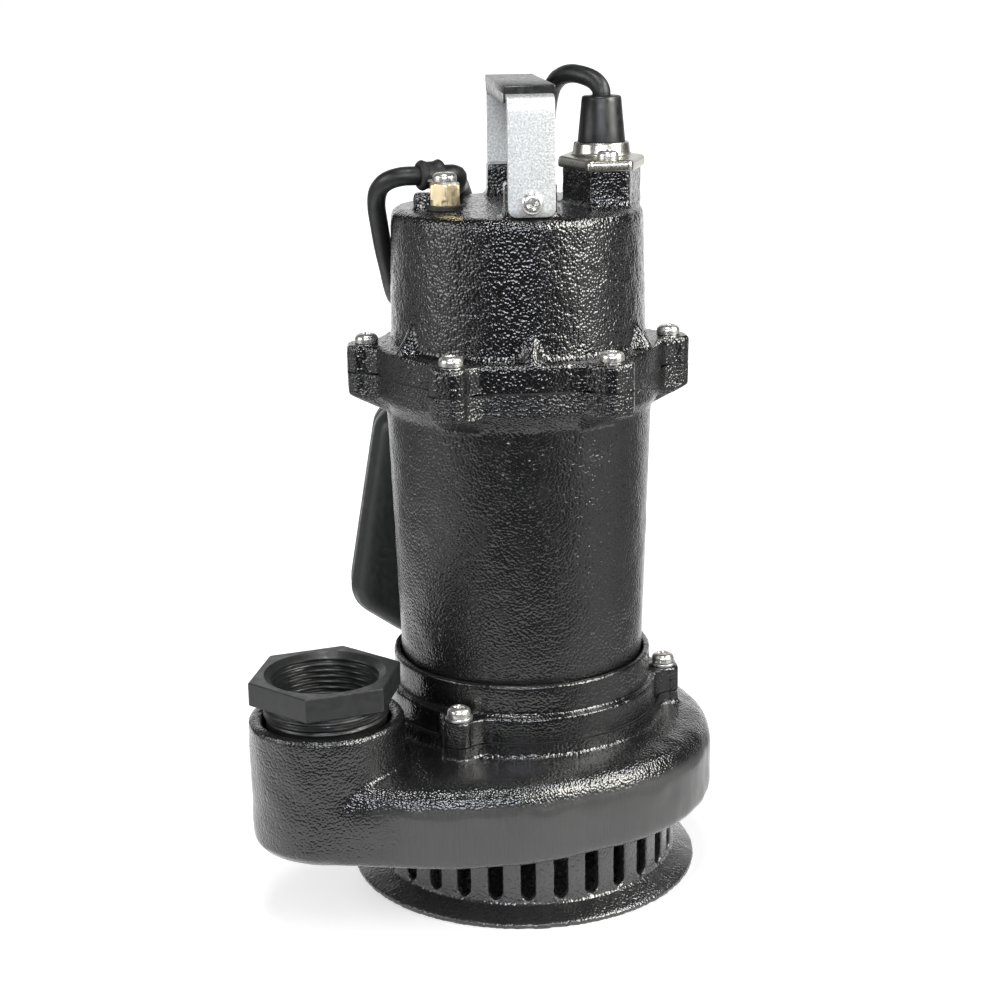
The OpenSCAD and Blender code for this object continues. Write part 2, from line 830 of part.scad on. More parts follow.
module motor_housing() {
    slope_z = housing_top - housing_flange_t - flange_slope_h;
    flange_z = housing_top - housing_flange_t;
    color([0.12, 0.12, 0.13]) difference() {
        union() {
            translate([0, 0, bracket_seat]) {
                cylinder(r1 = housing_foot_r, r2 = housing_top_r, h = slope_z - bracket_seat);
            }
            translate([0, 0, slope_z]) {
                cylinder(r1 = housing_top_r, r2 = flange_r, h = flange_slope_h);
            }
            translate([0, 0, flange_z]) cylinder(r = flange_r, h = housing_flange_t);
            for (a = flange_lugs) {
                around(a, flange_screw_ring_r) {
                    translate([0, 0, flange_z]) cylinder(r = flange_lug_r, h = housing_flange_t);
                    translate([0, 3.5, slope_z]) {
                        cylinder(r1 = 3.5, r2 = flange_lug_r - 0.5, h = flange_slope_h + 1);
                    }
                }
            }
        }
        translate([0, 0, bracket_seat + housing_floor_t]) {
            cylinder(r = housing_bore_r, h = housing_h);
        }
        translate([0, 0, bracket_seat - through]) {
            cylinder(r = housing_mouth_r, h = housing_floor_t + 2 * through);
        }
        translate([0, 0, plate_seat_z]) cylinder(r = plate_seat_r, h = housing_h);
        for (a = flange_lugs) {
            around(a, flange_screw_ring_r) {
                translate([0, 0, housing_top - flange_bite - 1]) {
                    cylinder(r = screw_r, h = flange_bite + 1 + through);
                }
            }
        }
        for (a = bolt_angles) {
            around(a, bolt_ring_r) {
                translate([0, 0, bracket_seat - through]) {
                    cylinder(r = screw_r, h = housing_floor_t + 2 * through);
                }
            }
        }
    }
}

module flange_outline(inner, h, hole) {
    difference() {
        union() {
            cylinder(r = flange_r, h = h);
            for (a = flange_lugs) {
                around(a, flange_screw_ring_r) cylinder(r = flange_lug_r, h = h);
            }
        }
        translate([0, 0, -through]) cylinder(r = inner, h = h + 2 * through);
        for (a = flange_lugs) {
            around(a, flange_screw_ring_r) {
                translate([0, 0, -through]) cylinder(r = hole, h = h + 2 * through);
            }
        }
    }
}

module flange_gasket() {
    color([0.15, 0.14, 0.13]) translate([0, 0, housing_top]) {
        flange_outline(plate_seat_r + 0.4, flange_gasket_t, screw_r + slip_gap);
    }
}

// Upper cap ----------------------------------------------------------------------------------

module gland_outline(grow) {
    w = gland_half_w + grow;
    e = gland_end_half_w + grow * 0.6;
    l = gland_half_l + grow;
    polygon([[-e, -l], [e, -l], [w, 0], [e, l], [-e, l], [-w, 0]]);
}

module upper_cap() {
    wall_h = cap_h - cap_flange_t - cap_round;
    color([0.1, 0.1, 0.11]) difference() {
        union() {
            translate([0, 0, cap_z]) {
                flange_outline(cap_low_r - cap_wall, cap_flange_t, screw_r + slip_gap);
            }
            // Spigot that holds the bearing plate down
            translate([0, 0, bearing_plate_top]) {
                ring(plate_seat_r - slip_gap, cap_low_r - cap_wall - 2, cap_z - bearing_plate_top + 4);
            }
            translate([0, 0, cap_flange_top - 1]) {
                cylinder(r1 = cap_low_r, r2 = cap_top_r, h = wall_h + 1);
            }
            translate([0, 0, cap_top - cap_round]) {
                cylinder(r1 = cap_top_r, r2 = cap_top_r - cap_round * 0.13, h = cap_round * 0.5);
                translate([0, 0, cap_round * 0.5]) {
                    cylinder(r1 = cap_top_r - cap_round * 0.13, r2 = cap_top_r - cap_round * 0.4,
                             h = cap_round * 0.3);
                }
                translate([0, 0, cap_round * 0.8]) {
                    cylinder(r1 = cap_top_r - cap_round * 0.4, r2 = cap_top_r - cap_round,
                             h = cap_round * 0.2);
                }
            }
            for (a = rib_angles) {
                rotate([0, 0, a]) rotate([90, 0, -90]) {
                    translate([0, 0, -rib_t / 2]) linear_extrude(rib_t) {
                        polygon([
                            [cap_low_r - 2, cap_flange_top - 0.5],
                            [flange_r, cap_flange_top - 0.5],
                            [flange_r, cap_flange_top + 1],
                            [cap_low_r - 0.5, cap_flange_top + rib_h],
                            [cap_low_r - 2, cap_flange_top + rib_h]
                        ]);
                    }
                }
            }
            for (s = [-1, 1]) {
                translate([handle_x - strap_w / 2 - 1,
                           s * (strap_inner - handle_boss_l / 2) - handle_boss_l / 2, cap_top - 2]) {
                    cube([strap_w + 2, handle_boss_l, handle_boss_h + 2]);
                }
            }
            translate([gland_x, gland_y, cap_top - 3]) {
                linear_extrude(gland_boss_h + 3) gland_outline(0);
            }
            translate([post_x, post_y, cap_top - 1]) cylinder(r = pad_disc_r, h = pad_disc_h + 1);
            translate([post_x - 12.5, post_y + 8, cap_top - 1]) cube([8, 6, clamp_stop_h + 1]);
        }
        translate([0, 0, cap_flange_top - 2]) {
            cylinder(r1 = cap_low_r - cap_wall, r2 = cap_top_r - cap_wall - 1,
                     h = cap_top - cap_top_t - cap_flange_top + 2);
        }
        translate([gland_x, gland_y, cap_top - 20]) cylinder(r = collar_bore_r, h = 60);
        for (s = [-1, 1]) {
            translate([gland_x, gland_y + s * gland_screw_y, gland_boss_top - 12]) {
                cylinder(r = small_screw_r, h = 12 + through);
            }
            translate([handle_x, s * strap_inner, handle_screw_z]) {
                rotate([s * 90, 0, 0]) cylinder(r = screw_r, h = handle_bite + 0.5);
            }
        }
        translate([post_x, post_y, cap_top - stud_in + pad_disc_h]) {
            cylinder(r = stud_r, h = stud_in + through);
        }
    }
}

module flange_screws() {
    color([0.72, 0.72, 0.7]) {
        for (a = flange_lugs) {
            around(a, flange_screw_ring_r) {
                translate([0, 0, cap_flange_top]) {
                    pan_screw(screw_r, head_r, head_h,
                              cap_flange_t + flange_gasket_t + flange_bite);
                }
            }
        }
    }
}

// Motor --------------------------------------------------------------------------------------

module bearing_plate() {
    color([0.5, 0.5, 0.52]) difference() {
        union() {
            translate([0, 0, plate_seat_z]) {
                cylinder(r = plate_seat_r - slip_gap, h = bearing_plate_t);
            }
            translate([0, 0, upper_bearing_z - 2]) {
                cylinder(r = hub_r, h = bearing_w + 2);
            }
        }
        translate([0, 0, upper_bearing_z - 5]) cylinder(r = shaft_hole_r, h = 30);
        translate([0, 0, upper_bearing_z]) cylinder(r = bearing_r, h = bearing_w + through);
        for (a = [60, 180, 300]) {
            around(a, 38) translate([0, 0, plate_seat_z - through]) cylinder(r = 6, h = 10);
        }
    }
}

module stator_core() {
    color([0.4, 0.4, 0.42]) translate([0, 0, stator_low]) difference() {
        cylinder(r = housing_bore_r, h = stator_l);
        translate([0, 0, -through]) {
            cylinder(r = rotor_r + air_gap, h = stator_l + 2 * through);
        }
        for (i = [0 : stator_slots - 1]) {
            rotate([0, 0, i * 360 / stator_slots]) {
                translate([stator_slot_in, -stator_slot_w / 2, -through]) {
                    cube([stator_slot_l, stator_slot_w, stator_l + 2 * through]);
                }
            }
        }
    }
}

module stator_windings() {
    inner = stator_slot_in - 1;
    outer = stator_slot_in + stator_slot_l;
    color([0.62, 0.32, 0.14]) {
        for (z = [stator_low - winding_h, stator_low + stator_l]) {
            translate([0, 0, z]) ring(outer, inner, winding_h);
        }
        for (i = [0 : stator_slots - 1]) {
            rotate([0, 0, i * 360 / stator_slots]) {
                translate([stator_slot_in + 0.5, -stator_slot_w / 2 + 0.3, stator_low - 1]) {
                    cube([stator_slot_l - 1.5, stator_slot_w - 0.6, stator_l + 2]);
                }
            }
        }
    }
}

module rotor_core() {
    color([0.45, 0.45, 0.47]) translate([0, 0, stator_low - 3]) {
        ring(rotor_r, shaft_r, stator_l + 6);
    }
}

module motor_shaft() {
    color([0.7, 0.7, 0.72]) translate([0, 0, shaft_low]) {
        cylinder(r1 = shaft_r - 1, r2 = shaft_r, h = 1);
        translate([0, 0, 1]) cylinder(r = shaft_r, h = shaft_top - shaft_low - 2);
        translate([0, 0, shaft_top - shaft_low - 1]) {
            cylinder(r1 = shaft_r, r2 = shaft_r - 1, h = 1);
        }
    }
}

module ball_bearing() {
    difference() {
        ring(bearing_r, shaft_r + run_gap, bearing_w);
        for (z = [-through, bearing_w - 0.8]) {
            translate([0, 0, z]) {
                ring(bearing_r - 2.5, shaft_r + 2.5, 0.8 + through);
            }
        }
    }
}

module lower_bearing() {
    color([0.75, 0.75, 0.76]) translate([0, 0, lower_bearing_z]) ball_bearing();
}

module upper_bearing() {
    color([0.75, 0.75, 0.76]) translate([0, 0, upper_bearing_z]) ball_bearing();
}

module seal_seat() {
    color([0.75, 0.73, 0.68]) translate([0, 0, bracket_z - pilot_t]) {
        ring(seal_seat_r, shaft_r + 1, seal_seat_t);
    }
}

module seal_head() {
    top = bracket_z - pilot_t - run_gap;
    color([0.3, 0.3, 0.32]) translate([0, 0, seal_head_z]) {
        ring(9.5, shaft_r, top - seal_head_z - 3);
        translate([0, 0, top - seal_head_z - 4]) ring(11.5, shaft_r, 4);
    }
}

// One swept-back vane, bounded by two arcs that run from the hub to the rim
function vane_point(t, off) =
    let (r = impeller_hub_r - 2 + (impeller_r - impeller_hub_r + 2) * t, a = -70 * t + off / r * 57.3)
    [r * cos(a), r * sin(a)];

module impeller() {
    color([0.25, 0.25, 0.27]) difference() {
        union() {
            translate([0, 0, vane_low]) cylinder(r = impeller_hub_r, h = impeller_top - vane_low + 1);
            translate([0, 0, vane_top]) cylinder(r = impeller_r, h = impeller_disc_t);
            for (i = [0 : vane_count - 1]) {
                rotate([0, 0, i * 360 / vane_count]) {
                    translate([0, 0, vane_low]) linear_extrude(vane_h + 0.5) {
                        polygon(concat(
                            [for (t = [0 : 0.125 : 0.99]) vane_point(t, 1.5)],
                            [for (t = [0.98 : -0.14 : 0]) vane_point(t, -1.5)]
                        ));
                    }
                }
            }
        }
        translate([0, 0, vane_low - through]) cylinder(r = shaft_r, h = 40);
    }
}

module impeller_nut() {
    color([0.7, 0.7, 0.68]) translate([0, 0, vane_low - nut_h]) difference() {
        cylinder(r = 10, h = nut_h, $fn = 6);
        translate([0, 0, -through]) cylinder(r = shaft_r, h = nut_h + 2 * through);
    }
}

module capacitor() {
    color([0.8, 0.8, 0.82]) translate([capacitor_x, capacitor_y, bearing_plate_top]) {
        cylinder(r = capacitor_r, h = capacitor_h);
        translate([-6, 0, capacitor_h]) cylinder(r = 2, h = 5);
        translate([6, 0, capacitor_h]) cylinder(r = 2, h = 5);
    }
}

module capacitor_clip() {
    color([0.55, 0.55, 0.56]) translate([capacitor_x, capacitor_y, bearing_plate_top]) {
        difference() {
            union() {
                ring(capacitor_r + 1, capacitor_r, 14);
                translate([capacitor_r + 0.5, -5, 0]) cube([9, 10, 1.2]);
            }
            translate([-40, -3, -through]) cube([30, 6, 20]);
        }
    }
}

// Discharge ----------------------------------------------------------------------------------

module discharge_adapter() {
    color([0.17, 0.18, 0.19]) translate([discharge_x, discharge_y, 0]) difference() {
        union() {
            translate([0, 0, boss_top - adapter_in]) {
                cylinder(r = adapter_thread_r, h = adapter_in + adapter_neck + 1);
            }
            intersection() {
                translate([0, 0, hex_z]) rotate([0, 0, hex_turn]) {
                    cylinder(r = hex_af / sqrt(3), h = hex_h, $fn = 6);
                }
                translate([0, 0, hex_z]) {
                    cylinder(r1 = hex_af * 0.58 + 8, r2 = hex_af * 0.54, h = hex_h);
                }
            }
        }
        translate([0, 0, boss_top - adapter_in - through]) {
            cylinder(r = passage_r - 3, h = adapter_in + adapter_neck + hex_h);
        }
        translate([0, 0, port_top - port_depth]) cylinder(r = port_r, h = port_depth + through);
        translate([0, 0, port_top - port_mouth_r + port_r]) {
            cylinder(r1 = port_r, r2 = port_mouth_r + eps, h = port_mouth_r - port_r + eps);
        }
    }
}

// Handle -------------------------------------------------------------------------------------

// A block along Y with its two long top edges rounded
module arch_block(l, h, w, r) {
    translate([-w / 2, -l / 2, 0]) cube([w, l, h - r]);
    translate([-w / 2, -l / 2 + r, 0]) cube([w, l - 2 * r, h]);
    for (s = [-1, 1]) {
        translate([-w / 2, s * (l / 2 - r), h - r]) {
            rotate([0, 90, 0]) cylinder(r = r, h = w);
        }
    }
}

module handle_strap() {
    color([0.66, 0.67, 0.66]) translate([handle_x, 0, strap_low]) difference() {
        arch_block(strap_span, strap_h, strap_w, strap_bend_r);
        translate([0, 0, -through]) {
            arch_block(strap_span - 2 * strap_t, strap_h - strap_t + through, strap_w + 2,
                       strap_bend_r - strap_t);
        }
        translate([0, -strap_span, handle_screw_z - strap_low]) {
            rotate([-90, 0, 0]) cylinder(r = screw_r + slip_gap, h = 2 * strap_span);
        }
        for (s = [-1, 1]) {
            translate([s * strap_w / 2, 0, 0]) rotate([0, 45, 0]) {
                cube([strap_corner * sqrt(2), 2 * strap_span, strap_corner * sqrt(2)], center = true);
            }
        }
    }
}

module handle_grip() {
    w = strap_w + 2 * grip_side_t;
    l = strap_span - 2 * strap_bend_r - 1;
    color([0.08, 0.08, 0.085]) translate([handle_x, 0, strap_top]) difference() {
        union() {
            translate([-w / 2, -l / 2, -grip_side_h + grip_t]) cube([w, l, grip_side_h - 1]);
            translate([-w / 2 + 1, -l / 2, 0]) cube([w - 2, l, grip_t]);
        }
        translate([-strap_w / 2, -l, -20]) cube([strap_w, 2 * l, 20]);
        for (i = [0 : grip_teeth - 1]) {
            translate([-w, (i - (grip_teeth - 1) / 2) * l / grip_teeth, -grip_side_h + grip_t - 0.6]) {
                rotate([45, 0, 0]) cube([2 * w, 2.2, 2.2]);
            }
        }
    }
}

module handle_screws() {
    color([0.75, 0.75, 0.73]) {
        for (s = [-1, 1]) {
            translate([handle_x, s * strap_span / 2, handle_screw_z]) {
                rotate([-s * 90, 0, 0]) pan_screw(screw_r, small_head_r, 3, strap_t + handle_bite - 1);
            }
        }
    }
}

// Cable gland --------------------------------------------------------------------------------

module gland_plate() {
    color([0.8, 0.8, 0.78]) translate([gland_x, gland_y, 0]) difference() {
        union() {
            translate([0, 0, plate_low - plate_rim]) {
                linear_extrude(plate_rim + plate_t) gland_outline(plate_over);
            }
            translate([0, 0, plate_top - 0.5]) cylinder(r = collar_tube_r, h = collar_tube_h + 0.5);
        }
        translate([0, 0, plate_low - plate_rim - through]) {
            linear_extrude(plate_rim + through) gland_outline(plate_over - 1);
        }
        translate([0, 0, plate_low - 5]) cylinder(r = collar_bore_r, h = 30);
        for (s = [-1, 1]) {
            translate([0, s * gland_screw_y, plate_low - 5]) {
                cylinder(r = small_screw_r + slip_gap, h = 30);
            }
        }
    }
}

module gland_pad() {
    color([0.07, 0.07, 0.07]) translate([gland_x, gland_y, gland_boss_top]) difference() {
        linear_extrude(pad_t) gland_outline(0);
        translate([0, 0, -through]) cylinder(r = collar_bore_r, h = 5);
        for (s = [-1, 1]) {
            translate([0, s * gland_screw_y, -through]) {
                cylinder(r = small_screw_r + slip_gap, h = 5);
            }
        }
    }
}

module gland_screws() {
    color([0.8, 0.8, 0.78]) {
        for (s = [-1, 1]) {
            translate([gland_x, gland_y + s * gland_screw_y, plate_top]) {
                pan_screw(small_screw_r, small_head_r, 3.6, 12);
            }
        }
    }
}

module strain_relief() {
    color([0.06, 0.06, 0.065]) translate([gland_x, gland_y, 0]) {
        translate([0, 0, cap_top - 4]) cylinder(r = collar_bore_r, h = collar_tube_top - cap_top + 4);
        translate([0, 0, collar_tube_top]) {
            cylinder(r1 = relief_low_r, r2 = relief_top_r, h = relief_h - 1);
            translate([0, 0, relief_h - 1]) {
                cylinder(r1 = relief_top_r, r2 = relief_top_r - 1, h = 1);
            }
        }
    }
}

// Float clamp --------------------------------------------------------------------------------

module brass_post() {
    color([0.8, 0.66, 0.32]) translate([post_x, post_y, 0]) {
        translate([0, 0, post_z]) difference() {
            rotate([0, 0, 28]) cylinder(r = post_af / sqrt(3), h = post_h, $fn = 6);
            translate([0, 0, post_h - 6]) cylinder(r = small_screw_r, h = 7);
        }
        translate([0, 0, cap_top + pad_disc_h - stud_in + 0.5]) {
            cylinder(r = stud_r, h = stud_in + post_washer_h);
        }
    }
}

module post_washer() {
    color([0.1, 0.1, 0.1]) translate([post_x, post_y, cap_top + pad_disc_h]) {
        ring(post_washer_r, stud_r, post_washer_h);
    }
}

module clamp_screw() {
    color([0.8, 0.8, 0.78]) translate([post_x, post_y, post_top + clamp_t]) {
        pan_screw(small_screw_r, head_r, 3.6, 6);
    }
}

module cord_clamp() {
    outer = clamp_bore_r + clamp_t;
    color([0.72, 0.72, 0.7]) translate([post_x, post_y, post_top]) rotate([0, 0, clamp_turn]) {
        difference() {
            union() {
                translate([-clamp_w / 2, -5, 0]) {
                    cube([clamp_w, clamp_reach + 5, clamp_t]);
                }
                translate([-clamp_w / 2, clamp_reach, clamp_rise]) {
                    rotate([0, 90, 0]) cylinder(r = outer, h = clamp_w);
                }
            }
            translate([-clamp_w, clamp_reach, clamp_rise]) {
                rotate([0, 90, 0]) cylinder(r = clamp_bore_r, h = 2 * clamp_w);
            }
            translate([0, 0, -through]) cylinder(r = small_screw_r + slip_gap, h = 5);
        }
    }
}

module clamp_cushion() {
    l = clamp_w + 4;
    color([0.05, 0.05, 0.05]) translate([post_x, post_y, post_top]) rotate([0, 0, clamp_turn]) {
        translate([-l / 2, clamp_reach, clamp_rise]) rotate([0, 90, 0]) difference() {
            union() {
                cylinder(r = clamp_bore_r, h = l);
                cylinder(r = clamp_bore_r + cushion_rim, h = 2);
                translate([0, 0, l - 2]) cylinder(r = clamp_bore_r + cushion_rim, h = 2);
            }
            translate([0, 0, -through]) cylinder(r = cord_r + slip_gap, h = l + 2 * through);
        }
    }
}

// Float --------------------------------------------------------------------------------------

// The float's outline is the hull of five rounds: x, height above the underside, radius
float_rounds = [
    [-float_w / 2 + 25, float_h - 12, 12], [float_w / 2 - 25, float_h - 12, 12],
    [-float_w / 2 + 15, 28, 15], [float_w / 2 - 15, 28, 15], [0, 34, 34]
];

module float_half(inset) {
    half = float_t / 2;
    k = float_round;
    hull() {
        for (d = float_rounds) {
            translate([float_x + d[0], 0, float_low + d[1]]) rotate([90, 0, 0]) {
                r = d[2] - inset;
                cylinder(r = r, h = half - k, $fn = 40);
                cylinder(r1 = r, r2 = r - k * 0.3, h = half - k * 0.3 - inset, $fn = 40);
                cylinder(r1 = r, r2 = r - k * 0.6, h = half - k * 0.08 - inset, $fn = 40);
                cylinder(r1 = r, r2 = max(1, r - k), h = half - inset, $fn = 40);
            }
        }
    }
}

module float_shell() {
    difference() {
        float_half(0);
        translate([0, eps, 0]) float_half(float_wall);
        translate([float_x, 0, float_mid_z]) cylinder(r = boot_r, h = float_h);
    }
}

module float_front_shell() {
    color([0.2, 0.2, 0.21]) translate([0, float_y, 0]) float_shell();
}

module float_rear_shell() {
    color([0.2, 0.2, 0.21]) translate([0, float_y, 0]) mirror([0, 1, 0]) float_shell();
}

module float_boot() {
    color([0.08, 0.08, 0.085]) translate([float_x, float_y, float_top - 6]) difference() {
        union() {
            cylinder(r = boot_r, h = 9);
            translate([0, 0, 9]) cylinder(r1 = boot_r, r2 = cord_r + 1.6, h = boot_h - 3);
        }
        translate([0, 0, -through]) cylinder(r = cord_r, h = 60);
    }
}

module float_tether() {
    color([0.06, 0.06, 0.065]) translate([float_x, float_y, 0]) {
        translate([0, 0, float_top - 14]) cylinder(r = cord_r, h = pivot_z - float_top + 14);
        translate([0, 0, pivot_z]) sphere(r = cord_r);
    }
}

module ball_track() {
    rib_l = float_t - 2 * float_wall - 0.1;
    rib_low = float_low + float_wall + float_round;
    color([0.85, 0.83, 0.78]) translate([float_x, float_y, 0]) difference() {
        union() {
            translate([0, 0, track_low]) cylinder(r = track_bore_r + track_wall, h = track_top - track_low);
            translate([-1, -rib_l / 2, rib_low]) cube([2, rib_l, track_top - rib_low + switch_h]);
        }
        translate([0, 0, track_low + 2]) cylinder(r = track_bore_r, h = track_top - track_low);
        translate([-2, -track_bore_r, track_low + 2]) cube([4, 2 * track_bore_r, 100]);
    }
}

module steel_ball() {
    color([0.75, 0.75, 0.76]) translate([float_x, float_y, ball_rest_z + 0.05]) sphere(r = ball_r);
}

module microswitch() {
    color([0.12, 0.12, 0.13]) translate([float_x, float_y, track_top + soft_gap]) {
        translate([-12, -track_bore_r, 0]) cube([24, 2 * track_bore_r, switch_h - soft_gap]);
        translate([-2, -3, -0.2]) cube([4, 6, 1]);
    }
}

// Cords --------------------------------------------------------------------------------------

module cord_coil(z) {
    outer = coil_mid_r + coil_half_w;
    inner = coil_mid_r - coil_half_w;
    translate([coil_x, coil_y, z]) rotate_extrude() {
        polygon([
            [inner + 1.5, 0], [outer - 1.5, 0], [outer, 1.5], [outer, coil_h - 1.5],
            [outer - 1.5, coil_h], [inner + 1.5, coil_h], [inner, coil_h - 1.5], [inner, 1.5]
        ]);
    }
}

// A moulded plug along +X from its neck: neck, body, then the blades in their own node
module plug_body(l, w, t, neck) {
    translate([-neck, 0, 0]) rotate([0, 90, 0]) cylinder(r1 = cord_r + 1.2, r2 = t * 0.36, h = neck + 1);
    rotate([90, 0, 90]) linear_extrude(l) {
        polygon([
            [-w / 2 + 5, -t / 2], [w / 2 - 5, -t / 2], [w / 2, -t / 2 + 5], [w / 2, t / 2 - 5],
            [w / 2 - 5, t / 2], [-w / 2 + 5, t / 2], [-w / 2, t / 2 - 5], [-w / 2, -t / 2 + 5]
        ]);
    }
}

module plug_blades(l) {
    for (s = [-1, 1]) {
        translate([l - 6, s * blade_pitch / 2 - blade_t / 2, -6.5]) cube([blade_l + 6, blade_t, blade_w]);
    }
    translate([l - 6, 0, 5.6]) rotate([0, 90, 0]) cylinder(r = 2.4, h = blade_l + 8);
}

module blade_room(l) {
    for (s = [-1, 1]) {
        translate([l - 6, s * blade_pitch / 2 - blade_t / 2, -6.5]) cube([blade_l + 6, blade_t, blade_w]);
    }
    translate([l - 6, 0, 5.6]) rotate([0, 90, 0]) cylinder(r = 2.4, h = blade_l + 8);
}

module power_plug_place() {
    translate([power_plug_x, power_plug_y, power_plug_z]) rotate([0, 0, 180]) children();
}

module float_plug_place() {
    translate([float_plug_x, float_plug_y, float_plug_z]) children();
}

module power_plug() {
    color([0.07, 0.07, 0.075]) power_plug_place() difference() {
        plug_body(power_plug_l, power_plug_w, power_plug_t, power_neck_l);
        blade_room(power_plug_l);
    }
}

module power_plug_blades() {
    color([0.78, 0.7, 0.45]) power_plug_place() plug_blades(power_plug_l);
}

// The float's plug carries a socket on its back, for the pump's own plug
module float_plug() {
    color([0.07, 0.07, 0.075]) float_plug_place() difference() {
        plug_body(float_plug_l, float_plug_w, float_plug_t, float_neck_l);
        blade_room(float_plug_l);
        for (s = [-1, 1]) {
            translate([14, s * blade_pitch / 2 - 1.2, float_plug_t / 2 - 6]) cube([8, 2.4, 7]);
        }
        translate([27, 0, float_plug_t / 2 - 3]) cylinder(r = 2.8, h = 4);
    }
}

module float_plug_blades() {
    color([0.78, 0.7, 0.45]) float_plug_place() plug_blades(float_plug_l);
}

module power_cord() {
    color([0.05, 0.05, 0.055]) tube(power_route, cord_r);
}

module power_cord_coil() {
    color([0.05, 0.05, 0.055]) cord_coil(power_coil_z);
}

module power_cord_tail() {
    color([0.05, 0.05, 0.055]) tube(power_tail, cord_r);
}

module float_cord() {
    color([0.06, 0.06, 0.065]) tube(float_route, cord_r);
}

module float_cord_coil() {
    color([0.06, 0.06, 0.065]) cord_coil(float_coil_z);
}

module float_plug_tail() {
    color([0.06, 0.06, 0.065]) tube(float_tail, cord_r);
}

module coil_ties() {
    w = 2 * coil_half_w;
    color([0.12, 0.12, 0.12]) {
        for (a = tie_angles) {
            translate([coil_x, coil_y, 0]) rotate([0, 0, a]) {
                translate([coil_mid_r - coil_half_w, 0, power_coil_z]) difference() {
                    translate([-tie_t, -tie_w / 2, -tie_t]) {
                        cube([w + 2 * tie_t, tie_w, 2 * coil_h + 2 * tie_t]);
                    }
                    translate([-tie_play, -tie_w, 0]) {
                        cube([w + 2 * tie_play, 2 * tie_w, 2 * coil_h]);
                    }
                }
            }
        }
    }
}

// Show one node, or all of them --------------------------------------------------------------

strainer_base();
base_screws();
volute();
bracket_gasket();
lower_bracket();
bracket_screws();
spring_washers();
housing_bolts();
motor_housing();
flange_gasket();
upper_cap();
flange_screws();
bearing_plate();
stator_core();
stator_windings();
rotor_core();
motor_shaft();
lower_bearing();
upper_bearing();
seal_seat();
seal_head();
impeller();
impeller_nut();
capacitor();
capacitor_clip();
discharge_adapter();
handle_strap();
handle_grip();
handle_screws();
gland_plate();
gland_pad();
gland_screws();
strain_relief();
brass_post();
post_washer();
clamp_screw();
cord_clamp();
clamp_cushion();
float_front_shell();
float_rear_shell();
float_boot();
float_tether();
ball_track();
steel_ball();
microswitch();
float_cord();
float_cord_coil();
float_plug();
float_plug_blades();
float_plug_tail();
power_cord();
power_cord_coil();
power_cord_tail();
power_plug();
power_plug_blades();
coil_ties();
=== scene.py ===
import bpy, bmesh, math
import numpy as np
from mathutils import Matrix, Vector, noise


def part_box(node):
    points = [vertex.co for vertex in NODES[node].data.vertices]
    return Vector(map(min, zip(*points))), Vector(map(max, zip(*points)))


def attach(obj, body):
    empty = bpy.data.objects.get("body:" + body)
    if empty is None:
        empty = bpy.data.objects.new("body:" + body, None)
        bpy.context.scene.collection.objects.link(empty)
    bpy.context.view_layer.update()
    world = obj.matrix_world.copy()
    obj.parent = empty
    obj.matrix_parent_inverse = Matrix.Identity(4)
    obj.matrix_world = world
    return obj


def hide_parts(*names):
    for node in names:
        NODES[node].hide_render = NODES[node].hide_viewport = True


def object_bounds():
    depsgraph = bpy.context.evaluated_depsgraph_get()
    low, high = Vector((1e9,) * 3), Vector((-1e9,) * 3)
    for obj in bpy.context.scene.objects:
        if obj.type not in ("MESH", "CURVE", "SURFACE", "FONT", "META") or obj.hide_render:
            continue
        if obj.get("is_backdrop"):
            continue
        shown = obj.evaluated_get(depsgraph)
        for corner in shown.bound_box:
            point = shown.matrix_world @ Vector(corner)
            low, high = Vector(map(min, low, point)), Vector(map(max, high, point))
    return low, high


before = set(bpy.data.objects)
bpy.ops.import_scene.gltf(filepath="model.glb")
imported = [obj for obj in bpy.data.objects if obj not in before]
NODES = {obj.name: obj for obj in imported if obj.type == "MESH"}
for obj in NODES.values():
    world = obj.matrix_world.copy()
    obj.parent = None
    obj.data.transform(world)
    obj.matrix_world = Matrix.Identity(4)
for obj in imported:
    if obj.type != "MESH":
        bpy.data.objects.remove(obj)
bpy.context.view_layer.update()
MM = 0.001

# ---------------------------------------------------------------- small mesh tools


def v_mm(x, y, z):
    return Vector((x, y, z)) * MM


def mesh_from(bm, name):
    bmesh.ops.recalc_face_normals(bm, faces=bm.faces)
    mesh = bpy.data.meshes.new(name)
    bm.to_mesh(mesh)
    bm.free()
    return mesh


def place(name, mesh, material, body="pump", slot=None, replaces=(), sharp=35):
    """Puts a mesh in the scene as a piece that rides on a body."""
    mesh.materials.clear()
    mesh.materials.append(material)
    mesh.shade_smooth()
    if sharp:
        mesh.set_sharp_from_angle(angle=math.radians(sharp))
    obj = bpy.data.objects.new(name, mesh)
    bpy.context.scene.collection.objects.link(obj)
    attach(obj, body)
    if replaces:
        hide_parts(*replaces)
    return obj


def polar_loft(bm, rings, steps=96, at=Matrix.Identity(4), closed=False):
    """A closed skin through rings of (radius, height) in mm; either may be a function of the angle."""
    rows = []
    for radius, height in rings:
        row = []
        for i in range(steps):
            a = 2 * math.pi * i / steps
            r = radius(a) if callable(radius) else radius
            z = height(a) if callable(height) else height
            row.append(bm.verts.new(at @ v_mm(r * math.cos(a), r * math.sin(a), z)))
        rows.append(row)
    pairs = list(zip(rows, rows[1:]))
    if closed:
        pairs.append((rows[-1], rows[0]))
    for low, high in pairs:
        for i in range(steps):
            j = (i + 1) % steps
            bm.faces.new((low[i], low[j], high[j], high[i]))
    if not closed:
        bm.faces.new(list(reversed(rows[0])))
        bm.faces.new(rows[-1])


def shift(x, y, z=0):
    """A placement in mm."""
    return Matrix.Translation(v_mm(x, y, z))


